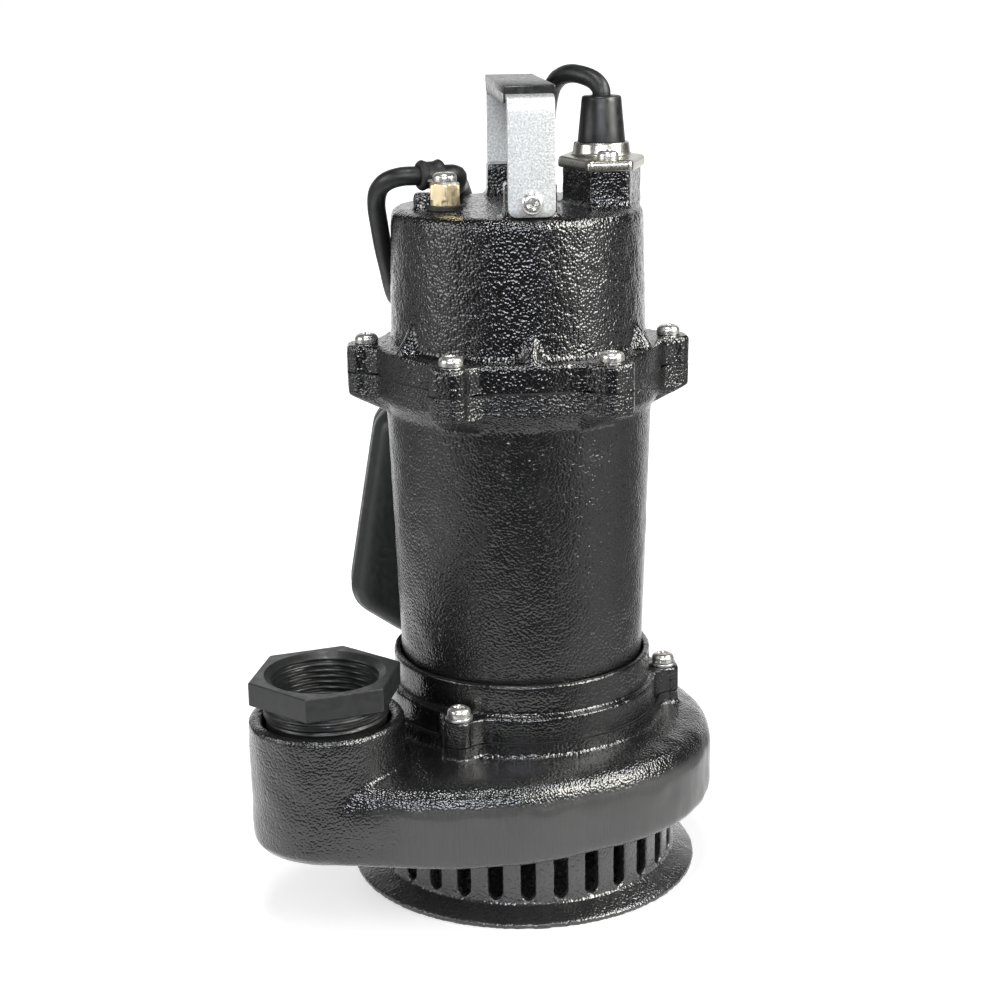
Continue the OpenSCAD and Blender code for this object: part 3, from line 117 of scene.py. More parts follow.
def out_at(angle, radius=0, z=0):
    """The placement at an angle round the pump's axis, its own -Y pointing outwards."""
    return Matrix.Rotation(math.radians(angle), 4, "Z") @ Matrix.Translation(v_mm(0, -radius, z))


def prism(bm, outline, z0, z1, at=Matrix.Identity(4)):
    """A closed prism on an outline in mm."""
    low = [bm.verts.new(at @ v_mm(x, y, z0)) for x, y in outline]
    high = [bm.verts.new(at @ v_mm(x, y, z1)) for x, y in outline]
    n = len(outline)
    for i in range(n):
        j = (i + 1) % n
        bm.faces.new((low[i], low[j], high[j], high[i]))
    bm.faces.new(list(reversed(low)))
    bm.faces.new(high)


def swept(bm, rows):
    """A closed bar through rows of the same number of vertices."""
    n = len(rows[0])
    for one, two in zip(rows, rows[1:]):
        for i in range(n):
            j = (i + 1) % n
            bm.faces.new((one[i], one[j], two[j], two[i]))
    bm.faces.new(rows[0])
    bm.faces.new(list(reversed(rows[-1])))


def rod(bm, r, z0, z1, at):
    polar_loft(bm, [(r, z0), (r, z1)], 48, at)


def hull(bm, points, at=Matrix.Identity(4)):
    """The closed convex skin round some points in mm."""
    verts = [bm.verts.new(at @ v_mm(*p)) for p in points]
    got = bmesh.ops.convex_hull(bm, input=verts)
    loose = [e for e in got["geom_interior"] + got["geom_unused"] if isinstance(e, bmesh.types.BMVert)]
    bmesh.ops.delete(bm, geom=list(set(loose)), context="VERTS")


def tube(bm, r_in, r_out, z0, z1):
    polar_loft(bm, [(r_in, z0), (r_out, z0), (r_out, z1), (r_in, z1)], closed=True)


def many_sided(distances, normals, power):
    """The radius by angle of a rounded convex outline: its sides' distances and directions."""
    turns = [math.radians(n) for n in normals]

    def radius(a):
        near = [max(0.0, math.cos(a - t) / d) for t, d in zip(turns, distances)]
        top = max(near)
        return sum((v / top) ** power for v in near) ** (-1 / power) / top
    return radius


def cad_into(bm, node):
    bm.from_mesh(NODES[node].data)
    bmesh.ops.remove_doubles(bm, verts=bm.verts, dist=1e-6)


def voxel_skin(bm, name, voxel):
    """One closed skin round every solid in bm, of even small faces."""
    mesh = mesh_from(bm, name)
    obj = bpy.data.objects.new(name + "_work", mesh)
    bpy.context.scene.collection.objects.link(obj)
    mod = obj.modifiers.new("skin", "REMESH")
    mod.mode = "VOXEL"
    mod.voxel_size = voxel * MM
    out = bpy.data.meshes.new_from_object(obj.evaluated_get(bpy.context.evaluated_depsgraph_get()))
    bpy.data.objects.remove(obj)
    out.name = name
    return out


def coords(mesh):
    co = np.empty(len(mesh.vertices) * 3)
    mesh.vertices.foreach_get("co", co)
    return co.reshape(-1, 3)


def soften(mesh, rounds, where=None):
    """Rounds the edges of an even mesh; where gives each vertex's share from its place in mm."""
    co = coords(mesh)
    n = len(co)
    ends = np.empty(len(mesh.edges) * 2, int)
    mesh.edges.foreach_get("vertices", ends)
    a, b = ends[0::2], ends[1::2]
    count = np.bincount(ends, minlength=n)[:, None]
    share = np.full(n, 0.5) if where is None else 0.5 * where(co / MM)
    for _ in range(rounds):
        total = np.stack([np.bincount(a, co[b, k], n) + np.bincount(b, co[a, k], n)
                          for k in range(3)], 1)
        co += share[:, None] * (total / count - co)
    mesh.vertices.foreach_set("co", co.ravel())
    mesh.update()


def lumps(mesh, height, size, where=None):
    """Lifts and sinks the skin by a smooth noise: height and size in mm."""
    co = coords(mesh)
    nor = np.empty(len(co) * 3)
    mesh.vertices.foreach_get("normal", nor)
    nor = nor.reshape(-1, 3)
    k = 1 / (size * MM)
    lift = np.array([noise.noise(Vector(c) * k) for c in co])
    if where is not None:
        lift *= where(co / MM)
    mesh.vertices.foreach_set("co", (co + nor * (lift * height * MM)[:, None]).ravel())
    mesh.update()


def trim(mesh, point, normal, where=None):
    """Cuts off what lies on the normal's side of a plane, and closes the cut."""
    bm = bmesh.new()
    bm.from_mesh(mesh)
    geom = bm.verts[:] + bm.edges[:] + bm.faces[:]
    if where is not None:
        inside = where(coords(mesh) / MM)
        faces = [f for f in bm.faces if all(inside[v.index] for v in f.verts)]
        geom = list({v for f in faces for v in f.verts}) + list({e for f in faces for e in f.edges}) + faces
    got = bmesh.ops.bisect_plane(bm, geom=geom, plane_co=v_mm(*point), plane_no=normal, clear_outer=True)
    rim = [e for e in got["geom_cut"] if isinstance(e, bmesh.types.BMEdge)]
    bmesh.ops.triangle_fill(bm, use_beauty=True, use_dissolve=False, edges=rim)
    bmesh.ops.recalc_face_normals(bm, faces=bm.faces)
    bm.to_mesh(mesh)
    bm.free()
    mesh.update()


def ramp01(x, a, b):
    """0 below a, 1 above b, smooth between."""
    t = np.clip((x - a) / (b - a), 0, 1)
    return t * t * (3 - 2 * t)


# ---------------------------------------------------------------- materials


class Surface:
    """A procedural material: a Principled shader and short ways to make what drives it."""

    def __init__(self, name, **values):
        self.mat = bpy.data.materials.new(name)
        self.mat.use_nodes = True
        self.nodes = self.mat.node_tree.nodes
        self.links = self.mat.node_tree.links
        self.bsdf = self.nodes["Principled BSDF"]
        self.place = self.nodes.new("ShaderNodeTexCoord").outputs["Object"]
        self.normal = None
        for key, value in values.items():
            self.bsdf.inputs[key.replace("_", " ")].default_value = value

    def put(self, socket, value):
        if isinstance(value, bpy.types.NodeSocket):
            self.links.new(value, socket)
        elif value is not None:
            socket.default_value = value

    def stretched(self, stretch):
        node = self.nodes.new("ShaderNodeMapping")
        self.put(node.inputs["Vector"], self.place)
        node.inputs["Scale"].default_value = stretch
        return node.outputs["Vector"]

    def noise(self, size, detail=3.0, rough=0.5, stretch=None, warp=0.0):
        node = self.nodes.new("ShaderNodeTexNoise")
        self.put(node.inputs["Vector"], self.stretched(stretch) if stretch else self.place)
        node.inputs["Scale"].default_value = 1 / (size * MM)
        node.inputs["Detail"].default_value = detail
        node.inputs["Roughness"].default_value = rough
        node.inputs["Distortion"].default_value = warp
        return node.outputs["Fac"]

    def cells(self, size):
        node = self.nodes.new("ShaderNodeTexVoronoi")
        node.feature = "SMOOTH_F1"
        self.put(node.inputs["Vector"], self.place)
        node.inputs["Scale"].default_value = 1 / (size * MM)
        node.inputs["Smoothness"].default_value = 0.3
        return node.outputs["Distance"]

    def calc(self, op, a, b=None):
        node = self.nodes.new("ShaderNodeMath")
        node.operation = op
        self.put(node.inputs[0], a)
        self.put(node.inputs[1], b)
        return node.outputs[0]

    def span(self, value, low, high, to_low=0.0, to_high=1.0):
        node = self.nodes.new("ShaderNodeMapRange")
        node.interpolation_type = "SMOOTHSTEP"
        self.put(node.inputs["Value"], value)
        for key, number in (("From Min", low), ("From Max", high), ("To Min", to_low), ("To Max", to_high)):
            node.inputs[key].default_value = number
        return node.outputs["Result"]

    def blend(self, a, b, share):
        node = self.nodes.new("ShaderNodeMix")
        node.data_type = "RGBA"
        self.put(node.inputs["Factor"], share)
        self.put(node.inputs[6], (*a, 1) if isinstance(a, tuple) else a)
        self.put(node.inputs[7], (*b, 1) if isinstance(b, tuple) else b)
        return node.outputs[2]

    def axis(self, name, source=None):
        node = self.nodes.new("ShaderNodeSeparateXYZ")
        self.put(node.inputs[0], source or self.place)
        return node.outputs[name]

    def facing(self, name):
        return self.axis(name, self.nodes.new("ShaderNodeNewGeometry").outputs["Normal"])

    def edges(self, low=0.51, high=0.58):
        point = self.nodes.new("ShaderNodeNewGeometry").outputs["Pointiness"]
        return self.span(point, low, high)

    def bump(self, height, depth, strength=1.0):
        """Adds a bump layer over the last one: depth in mm."""
        node = self.nodes.new("ShaderNodeBump")
        self.put(node.inputs["Height"], height)
        node.inputs["Distance"].default_value = depth * MM
        node.inputs["Strength"].default_value = strength
        if self.normal:
            self.put(node.inputs["Normal"], self.normal)
        self.normal = node.outputs["Normal"]
        return self

    def done(self, color, rough):
        self.put(self.bsdf.inputs["Base Color"], color)
        self.put(self.bsdf.inputs["Roughness"], rough)
        if self.normal:
            self.put(self.bsdf.inputs["Normal"], self.normal)
            self.put(self.bsdf.inputs["Coat Normal"], self.normal)
        return self.mat


def enamel(name, grain, depth, tone, rough, gloss, wall=False, coarse_from=None):
    """Black enamel over a sand casting: pebbles of the given grain and depth in mm, gloss as a clear coat.

    wall grinds the volute's upright side; above coarse_from, in metres, the pebbles stand higher.
    """
    s = Surface(name, Coat_Weight=gloss, Coat_Roughness=0.06)
    round_off = s.calc("POWER", s.calc("MULTIPLY", s.cells(grain), 1.4), 2.0)
    wrinkles = s.noise(grain * 0.55, 0.5, 0.5, warp=0.3)
    broad = s.noise(grain * 4, 2.0, 0.5)
    height = s.calc("SUBTRACT", s.calc("MULTIPLY", wrinkles, 0.35), round_off)
    if coarse_from:
        height = s.calc("MULTIPLY", height, s.span(s.axis("Z"), coarse_from - 0.008, coarse_from, 1.0, 1.7))
    patches = s.span(s.noise(24, 3.0, 0.55), 0.4, 0.7)
    # Convex edges, found by pointiness, are painted paler: partly wear of the enamel, partly a painted
    # highlight along the edges
    edge_wear_and_highlight = s.edges()
    base = (tone, tone, tone * 1.02)
    pale = (tone * 1.8, tone * 1.8, tone * 1.7)
    color = s.blend(base, pale, s.calc("MULTIPLY", patches, 0.4))
    # Paler colour on convex edges: wear together with a painted edge highlight
    color = s.blend(color, (tone * 3, tone * 3, tone * 2.9), s.calc("MULTIPLY", edge_wear_and_highlight, 0.3))
    gray = s.span(s.noise(9, 3.0), 0.35, 0.7, rough - 0.03, rough + 0.06)
    if wall:
        # The volute's upright wall is ground: grey, satin, with fine upright scratches
        z = s.axis("Z")
        upright = s.span(s.calc("ABSOLUTE", s.facing("Z")), 0.55, 0.2)
        band = s.calc("MULTIPLY", s.span(z, 0.036, 0.04), s.span(z, 0.066, 0.0605))
        mask = s.calc("MULTIPLY", s.calc("MULTIPLY", upright, band), s.span(s.axis("X"), -0.085, -0.045))
        scratches = s.noise(0.55, 3.0, 0.6, stretch=(1, 1, 0.05))
        color = s.blend(color, s.blend((0.022, 0.023, 0.022), (0.06, 0.061, 0.059), scratches), mask)
        gray = s.calc("ADD", s.calc("MULTIPLY", gray, s.calc("SUBTRACT", 1.0, mask)),
                      s.calc("MULTIPLY", s.span(scratches, 0.3, 0.7, 0.42, 0.56), mask))
        cast_share = s.calc("SUBTRACT", 1.0, s.calc("MULTIPLY", mask, 0.85))
        height = s.calc("ADD", s.calc("MULTIPLY", height, cast_share),
                        s.calc("MULTIPLY", s.calc("MULTIPLY", scratches, 0.3), mask))
    s.bump(broad, depth, 0.5).bump(height, depth, 1.0)
    return s.done(color, gray)


def metal(name, color, rough, grain, depth, mottle, mottle_size, stretch=None, metallic=1.0):
    """A bare or plated metal: mottled colour, uneven polish and a fine grain; sizes in mm."""
    s = Surface(name, Metallic=metallic)
    spots = s.noise(mottle_size, 3.0, 0.6)
    fine = s.noise(grain, 3.0, 0.6, stretch=stretch)
    dark = tuple(c * (1 - mottle) for c in color)
    lit = tuple(min(1.0, c * (1 + mottle * 0.6)) for c in color)
    tint = s.blend(dark, lit, s.span(spots, 0.3, 0.7))
    stained = s.calc("MULTIPLY", s.span(s.noise(9, 4.0), 0.55, 0.8), 0.35)
    tint = s.blend(tint, tuple(c * 0.7 for c in color), stained)
    s.bump(fine, depth, 1.0)
    return s.done(tint, s.span(fine, 0.3, 0.7, max(0.05, rough - 0.08), rough + 0.1))


def plastic(name, color, rough, grain, depth, dust):
    """Moulded plastic or rubber: faint texture, a little dust, slightly rubbed edges; sizes in mm."""
    s = Surface(name)
    fine = s.noise(grain, 3.0, 0.6)
    pale = tuple(c * 1.7 + 0.005 for c in color)
    dusty = s.calc("MULTIPLY", s.span(s.noise(11, 4.0, 0.6), 0.45, 0.75), dust)
    tint = s.blend(s.blend(color, pale, dusty), tuple(c * 2.2 + 0.01 for c in color),
                   s.calc("MULTIPLY", s.edges(0.52, 0.62), 0.4))
    s.bump(s.noise(6, 2.0), 0.12, 0.4).bump(fine, depth, 1.0)
    return s.done(tint, s.span(s.noise(3, 3.0), 0.3, 0.7, rough - 0.06, rough + 0.1))


CAST_CAP = enamel("cast_cap", 1.2, 0.165, 0.006, 0.15, 0.6)
CAST_FINE = enamel("cast_housing", 1.15, 0.145, 0.009, 0.22, 0.35, coarse_from=0.218)
CAST_BRACKET = enamel("cast_bracket", 1.15, 0.085, 0.007, 0.17, 0.4)
CAST_VOLUTE = enamel("cast_volute", 1.1, 0.125, 0.009, 0.18, 0.5, wall=True)
CAST_BASE = enamel("cast_base", 1.1, 0.11, 0.028, 0.26, 0.8)
ZINC = metal("zinc_plate", (0.64, 0.65, 0.645), 0.44, 0.7, 0.12, 0.3, 0.9, metallic=0.7)
NICKEL = metal("nickel_screw", (0.7, 0.69, 0.66), 0.26, 0.3, 0.006, 0.08, 1.2, metallic=0.9)
GLAND_METAL = metal("gland_nickel", (0.5, 0.49, 0.44), 0.26, 0.3, 0.004, 0.14, 2.2)
STEEL = metal("bare_steel", (0.56, 0.56, 0.55), 0.32, 0.25, 0.01, 0.12, 2.5, (1, 1, 0.1))
LAMINATED = metal("laminated_steel", (0.4, 0.4, 0.41), 0.4, 0.35, 0.06, 0.2, 2.5, (0.02, 0.02, 1))
COPPER = metal("copper", (0.8, 0.42, 0.22), 0.35, 0.5, 0.12, 0.15, 2.0, (0.3, 0.3, 1))
BRASS = metal("brass", (0.95, 0.8, 0.52), 0.36, 1.4, 0.004, 0.06, 2.5)
ALUMINIUM = metal("aluminium_can", (0.7, 0.71, 0.72), 0.34, 0.3, 0.01, 0.08, 3.0, (1, 1, 0.1))
ADAPTER = plastic("adapter_plastic", (0.016, 0.0175, 0.0165), 0.36, 0.35, 0.008, 0.2)
FLOAT = plastic("float_plastic", (0.016, 0.0175, 0.017), 0.4, 0.5, 0.015, 0.3)
GRIP = plastic("grip_plastic", (0.018, 0.018, 0.0175), 0.26, 0.45, 0.012, 0.25)
RUBBER = plastic("gland_rubber", (0.008, 0.008, 0.009), 0.36, 0.4, 0.012, 0.2)
PLUG = plastic("plug_rubber", (0.011, 0.011, 0.012), 0.38, 0.8, 0.03, 0.25)
CORD = plastic("cord_rubber", (0.008, 0.0085, 0.0095), 0.42, 0.5, 0.015, 0.25)
CUSHION = plastic("cushion_rubber", (0.012, 0.012, 0.012), 0.5, 0.6, 0.02, 0.15)
GASKET = plastic("gasket_fibre", (0.003, 0.003, 0.003), 0.85, 0.4, 0.02, 0.1)
IVORY = plastic("track_plastic", (0.62, 0.6, 0.54), 0.4, 0.6, 0.01, 0.1)
VANES = plastic("impeller_plastic", (0.05, 0.05, 0.055), 0.4, 0.6, 0.02, 0.2)
CERAMIC = plastic("seal_ceramic", (0.35, 0.33, 0.31), 0.3, 0.4, 0.01, 0.1)
WEBBING = plastic("tie_webbing", (0.02, 0.02, 0.022), 0.75, 0.7, 0.12, 0.4)


def dress(material, *nodes):
    """Gives CAD nodes that stay as they are their own material."""
    for n in nodes:
        for s in NODES[n].material_slots:
            s.material = material


dress(NICKEL, "gland_screws", "clamp_screw", "handle_screws", "base_screws", "bracket_screws",
      "flange_screws")
dress(STEEL, "spring_washers", "housing_bolts", "motor_shaft", "lower_bearing", "upper_bearing",
      "impeller_nut", "steel_ball", "capacitor_clip")
dress(LAMINATED, "stator_core", "rotor_core")
dress(CERAMIC, "seal_seat", "seal_head")
dress(GASKET, "bracket_gasket", "flange_gasket", "gland_pad")
dress(CAST_BRACKET, "bearing_plate")
dress(COPPER, "stator_windings")
dress(BRASS, "float_plug_blades", "power_plug_blades", "brass_post")
dress(ZINC, "cord_clamp", "handle_strap")
dress(GRIP, "handle_grip", "microswitch")
dress(RUBBER, "float_boot", "strain_relief")
dress(CORD, "float_tether", "float_plug", "power_plug")
dress(CUSHION, "post_washer", "clamp_cushion")
dress(ALUMINIUM, "capacitor")
dress(IVORY, "ball_track")
dress(VANES, "impeller")
dress(WEBBING, "coil_ties")
dress(ADAPTER, "discharge_adapter")
dress(FLOAT, "float_front_shell", "float_rear_shell")
dress(GLAND_METAL, "gland_plate")


# ---------------------------------------------------------------- cords


def spline_through(points, steps=6):
    """A smooth line through route points, in mm (Catmull-Rom)."""
    p = np.array(points, float)
    q = np.vstack([2 * p[0] - p[1], p, 2 * p[-1] - p[-2]])
    out = []
    for i in range(1, len(q) - 2):
        a, b, c, d = q[i - 1:i + 3]
        for t in np.arange(steps) / steps:
            out.append(0.5 * (2 * b + (c - a) * t + (2 * a - 5 * b + 4 * c - d) * t * t
                              + (3 * b - a - 3 * c + d) * t ** 3))
    out.append(p[-1])
    return np.array(out)


COIL_X, COIL_Y, COIL_R, PITCH = 12, 158, 48, 8.2
TURNS = 4


def step01(x):
    x = min(1.0, max(0.0, x))
    return x * x * (3 - 2 * x)


def coil_points(z, end, step=10):
    """A coil of two layers of four turns: inwards below, up one layer, outwards above."""
    out = []
    angles = list(np.arange(0, end, step)) + [end]
    for t in angles:
        k = sum(step01((t - 270 - 360 * i) / 90) for i in range(TURNS - 1))
        k -= sum(step01((t - 1520 - 360 * i) / 90) for i in range(TURNS - 1))
        r = COIL_R + (TURNS - 1) / 2 * PITCH - k * PITCH
        a = math.radians(t)
        out.append((COIL_X + r * math.cos(a), COIL_Y + r * math.sin(a),
                    z + PITCH * step01((t - 1260) / 90)))
    return np.array(out)


POWER_ROUTE = [
    (36.5, 4, 340.5), (36.4, 4.1, 342.4), (35.6, 5.3, 344.4), (33.6, 7.6, 346.6), (30, 11, 348.3),
    (25.5, 16, 349), (21.5, 22, 347.5), (19, 29, 343.5), (18, 36, 337.5), (17.8, 43, 330),
    (18, 50, 320.5), (18.5, 56, 309), (19.3, 61, 296), (20.5, 64.8, 281), (22.5, 68, 264),
    (24.8, 71, 245), (26.7, 72.7, 222), (28, 74, 198), (29.5, 76, 174), (31.5, 79, 151),
    (34.5, 82, 128), (38.5, 85.5, 106), (43.5, 89, 85), (49, 92.5, 65), (54.5, 97, 47),
    (60, 102.5, 32), (65.5, 109.5, 20), (70.5, 119, 12), (73.6, 130.5, 7.7), (74.2, 143, 5.9),
    (73, 151.5, 5.3), (72.3, 158, 5.3)]
FLOAT_ROUTE = [
    (-36, 80.3, 238.4), (-39.5, 74, 241), (-43.5, 65.5, 244), (-47, 56, 246.8), (-49.5, 47, 249.5),
    (-51.3, 38.5, 253.5), (-52.8, 30, 259.5), (-54.3, 22, 267.5), (-56.3, 14.5, 277.5),
    (-57.9, 8, 288), (-59, 2, 297.5), (-58, -3.5, 304), (-54.5, -7.8, 308), (-48.7, -10.4, 310),
    (-42.2, -10, 310.2), (-31, -5.9, 310.2), (-26.7, -3, 309.9), (-24.6, 2.5, 308.5),
    (-24.2, 10, 306), (-24, 20, 303.6), (-23, 31, 301.6), (-21.9, 40, 300.9), (-21.1, 45.5, 300.6),
    (-20.4, 49.8, 299.6), (-18.3, 56.3, 293.8), (-15, 61, 286), (-11, 65, 276), (-5.5, 68, 264.5),
    (1, 70.2, 252), (7.5, 71.5, 240), (12.5, 72.3, 227), (15.5, 73, 210), (17, 73.7, 192),
    (18.2, 75.3, 172), (19.7, 78, 151), (22, 82, 130), (26, 87, 108), (31.5, 93.5, 87),
    (38.5, 101, 68), (47, 109.5, 52), (57, 118.5, 40), (65.5, 130.5, 30.5), (70.8, 144, 24.2),
    (72.1, 151.5, 22.2), (72.3, 158, 21.7)]
POWER_TAIL = [
    (71.4, 168.5, 13.5), (70.9, 177, 13.5), (70.5, 186, 13.2), (70.3, 196, 12.6),
    (70.2, 208.8, 11.8), (68, 219.6, 11.3), (61.9, 228.7, 11.1), (52.8, 234.8, 11), (42, 237, 11)]
FLOAT_TAIL = [
    (-48.3, 158, 29.9), (-48.7, 147, 31.6), (-48, 136, 34.6), (-45.3, 125.5, 38.6),
    (-40.8, 116.5, 42.6), (-34, 110.2, 45.2)]
CORD_R = 3.95


def cord_piece(name, route, coil, tail, replaces):
    """One cord from its exit through its coil to its plug: a curve of one open spline."""
    line = np.vstack([spline_through(route), coil[1:], spline_through(tail)[1:]]) * MM
    curve = bpy.data.curves.new(name, "CURVE")
    curve.dimensions = "3D"
    curve.bevel_depth = CORD_R * MM
    curve.bevel_resolution = 4
    curve.use_fill_caps = True
    spline = curve.splines.new("POLY")
    spline.points.add(len(line) - 1)
    spline.points.foreach_set("co", np.hstack([line, np.ones((len(line), 1))]).ravel())
    spline.use_smooth = True
    curve.materials.append(CORD)
    obj = bpy.data.objects.new(name, curve)
    bpy.context.scene.collection.objects.link(obj)
    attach(obj, "pump")
    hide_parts(*replaces)


def plug_piece(node, neck_end, neck_l, side):
    """A moulded plug with rounded edges and rings round its neck; side is the way the neck points."""
    neck_r, body_r = 5.2, 7.92
    bm = bmesh.new()
    cad_into(bm, node)
    at = Matrix.Translation(v_mm(*neck_end)) @ Matrix.Rotation(math.radians(-90 * side), 4, "Y")
    for k in range(5):
        along = neck_l * (0.12 + 0.18 * k)
        r = neck_r + (body_r - neck_r) * along / neck_l + 0.9
        rod(bm, r, along, along + neck_l * 0.085, at)
    mesh = voxel_skin(bm, node + "_moulding", 0.55)
    soften(mesh, 4)
    return place(node + "_moulding", mesh, PLUG, "pump", "black_plastic", [node], 0)


power_plug = plug_piece("power_plug", POWER_TAIL[-1], 26, 1)
float_plug = plug_piece("float_plug", FLOAT_TAIL[-1], 18, -1)
cord_piece("power_cord_run", POWER_ROUTE, coil_points(POWER_ROUTE[-1][2], 2530), POWER_TAIL,
           ["power_cord", "power_cord_coil", "power_cord_tail"])
cord_piece("float_cord_run", FLOAT_ROUTE, coil_points(FLOAT_ROUTE[-1][2], 2340), FLOAT_TAIL,
           ["float_cord", "float_cord_coil", "float_plug_tail"])


# ---------------------------------------------------------------- castings

SCREW_R = 2.6
FLANGE_LUGS, BRACKET_LUGS = [30, 90, 150, 210, 270, 330], [-30, 90, 210]
FLANGE_RING, BRACKET_RING = 65, 64
FLANGE_LUG_R, BRACKET_LUG_R = 8.5, 6.7
FLANGE_SPREAD, BRACKET_SPREAD = 17, 14
DISCHARGE = (-87.469, -50.5)


def heights(node):
    low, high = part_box(node)
    return low.z / MM, high.z / MM


def lug_web(bm, angle, ring, r, inner, spread, z0, z1):
    """The flared casting between a screw lug and its flange."""
    prism(bm, [(-spread, -inner), (-spread * 0.66, -ring + r * 0.45), (-r * 0.97, -ring - r * 0.15),
               (r * 0.97, -ring - r * 0.15), (spread * 0.66, -ring + r * 0.45), (spread, -inner)],
          z0, z1, out_at(angle))


def lug_block(bm, angle, ring, r, z0, z1):
    """The squarish outer face of a screw lug."""
    w, c = r * 0.93, r * 0.4
    out = ring + r
    prism(bm, [(-w, -ring), (-w, -out + c), (-w + c, -out), (w - c, -out), (w, -out + c), (w, -ring)],
          z0, z1, out_at(angle))


housing_low, housing_high = heights("motor_housing")
cap_low = heights("flange_gasket")[1]
plate_low = heights("bearing_plate")[0]
flange_top = heights("flange_screws")[1] - 4
JOINT_OVERLAP = 4

# Upper cap: the casting with lug webs, rounded, then cut square at the joint
bm = bmesh.new()
cad_into(bm, "upper_cap")
tube(bm, 50.5, 60.8, cap_low - JOINT_OVERLAP, cap_low + 3)
for a in FLANGE_LUGS:
    rod(bm, SCREW_R, cap_low - JOINT_OVERLAP, flange_top, out_at(a, FLANGE_RING))
    rod(bm, 8.4, cap_low - JOINT_OVERLAP, flange_top - 1, out_at(a, FLANGE_RING))
    lug_web(bm, a, FLANGE_RING, FLANGE_LUG_R, 58.6, FLANGE_SPREAD, cap_low - JOINT_OVERLAP, flange_top)
    lug_block(bm, a, FLANGE_RING, FLANGE_LUG_R, cap_low - JOINT_OVERLAP, flange_top)
    # A gusset between two lugs
    rib_foot = [(x, y, flange_top - 0.5) for x, y in ((-7.5, -53), (7.5, -53), (-1.5, -60.6), (1.5, -60.6))]
    crest = [(x, y, flange_top + z) for x in (-1.4, 1.4) for y, z in ((-60.6, 1), (-54.6, 10), (-52, 10))]
    hull(bm, rib_foot + crest, out_at(a + 30))
mesh = voxel_skin(bm, "upper_cap_casting", 0.9)
soften(mesh, 5)
lumps(mesh, 0.22, 7)
lumps(mesh, 0.16, 2.6, lambda p: ramp01(p[:, 2], 228, 234))
trim(mesh, (0, 0, cap_low), (0, 0, -1))
place("upper_cap_casting", mesh, CAST_CAP, "pump", "cast_body", ["upper_cap"], 55)

# Motor housing: turned body with a flared flange, and lugs that slope back into it
under = housing_high - 9.7
bm = bmesh.new()
polar_loft(bm, [(25, housing_low), (53, housing_low), (57, under - 6.5), (60.9, under),
                (60.9, housing_high + JOINT_OVERLAP), (51.6, housing_high + JOINT_OVERLAP),
                (51.6, plate_low), (49.1, plate_low),
                (49.1, housing_low + 10), (25, housing_low + 10)], 192, closed=True)
for a in FLANGE_LUGS:
    lug_web(bm, a, FLANGE_RING, FLANGE_LUG_R, 58.6, FLANGE_SPREAD, under, housing_high + JOINT_OVERLAP)
    lug_block(bm, a, FLANGE_RING, FLANGE_LUG_R, under, housing_high + JOINT_OVERLAP)
    lug = [(s * x, y, under + 0.2) for x, y in ((14, -57), (7.9, -70), (4.5, -73.4)) for s in (-1, 1)]
    hull(bm, lug + [(-9, -55.5, under - 7.5), (9, -55.5, under - 7.5)], out_at(a))
mesh = voxel_skin(bm, "motor_housing_casting", 1.0)
soften(mesh, 3)
soften(mesh, 14, lambda p: ramp01(p[:, 2], 210, 205))
lumps(mesh, 0.22, 9)
trim(mesh, (0, 0, housing_high), (0, 0, 1))
place("motor_housing_casting", mesh, CAST_FINE, "pump", "cast_body", ["motor_housing"], 55)

# Seal bracket with its collar
rim_top, foot = heights("bracket_gasket")
bm = bmesh.new()
cad_into(bm, "lower_bracket")
for a in BRACKET_LUGS:
    rod(bm, SCREW_R, foot - JOINT_OVERLAP, housing_low, out_at(a, BRACKET_RING))
    lug_web(bm, a, BRACKET_RING, BRACKET_LUG_R, 57.6, BRACKET_SPREAD, foot - JOINT_OVERLAP, housing_low)
    lug_block(bm, a, BRACKET_RING, BRACKET_LUG_R, foot - JOINT_OVERLAP, housing_low)
tube(bm, 48.6, 59.8, foot - JOINT_OVERLAP, foot + 3)
mesh = voxel_skin(bm, "seal_bracket_casting", 0.8)
soften(mesh, 3)
lumps(mesh, 0.2, 8)
trim(mesh, (0, 0, foot), (0, 0, -1), lambda p: np.hypot(p[:, 0], p[:, 1]) > 47.9)
place("seal_bracket_casting", mesh, CAST_BRACKET, "pump", "cast_body", ["lower_bracket"], 55)

# Volute with its discharge boss
bm = bmesh.new()
cad_into(bm, "volute")
tube(bm, 47, 61.3, rim_top - 3, rim_top + JOINT_OVERLAP)
for a in BRACKET_LUGS:
    rod(bm, 6.6, rim_top - 6, rim_top + JOINT_OVERLAP, out_at(a, BRACKET_RING))
    lug_web(bm, a, BRACKET_RING, BRACKET_LUG_R, 59.2, BRACKET_SPREAD, rim_top - 9, rim_top + JOINT_OVERLAP)
    lug_block(bm, a, BRACKET_RING, BRACKET_LUG_R, rim_top - 9, rim_top + JOINT_OVERLAP)
mesh = voxel_skin(bm, "volute_casting", 1.0)


def from_boss(p):
    return np.hypot(p[:, 0] - DISCHARGE[0], p[:, 1] - DISCHARGE[1])


def on_shoulder(p):
    """1 on the volute's shoulder, 0 at its foot, the rim, the lugs and the boss."""
    free = np.maximum(ramp01(np.hypot(p[:, 0], p[:, 1]), 71.5, 75), ramp01(p[:, 2], 70.5, 67))
    return free * np.maximum(ramp01(from_boss(p), 33, 37), ramp01(p[:, 2], 66, 58)) * ramp01(p[:, 2], 42, 50)


soften(mesh, 3)
soften(mesh, 4, lambda p: ramp01(p[:, 2], 44, 38))
soften(mesh, 22, on_shoulder)
lumps(mesh, 0.35, 10)
trim(mesh, (0, 0, rim_top), (0, 0, 1), lambda p: from_boss(p) > 34)
place("volute_casting", mesh, CAST_VOLUTE, "pump", "cast_body", ["volute"], 55)

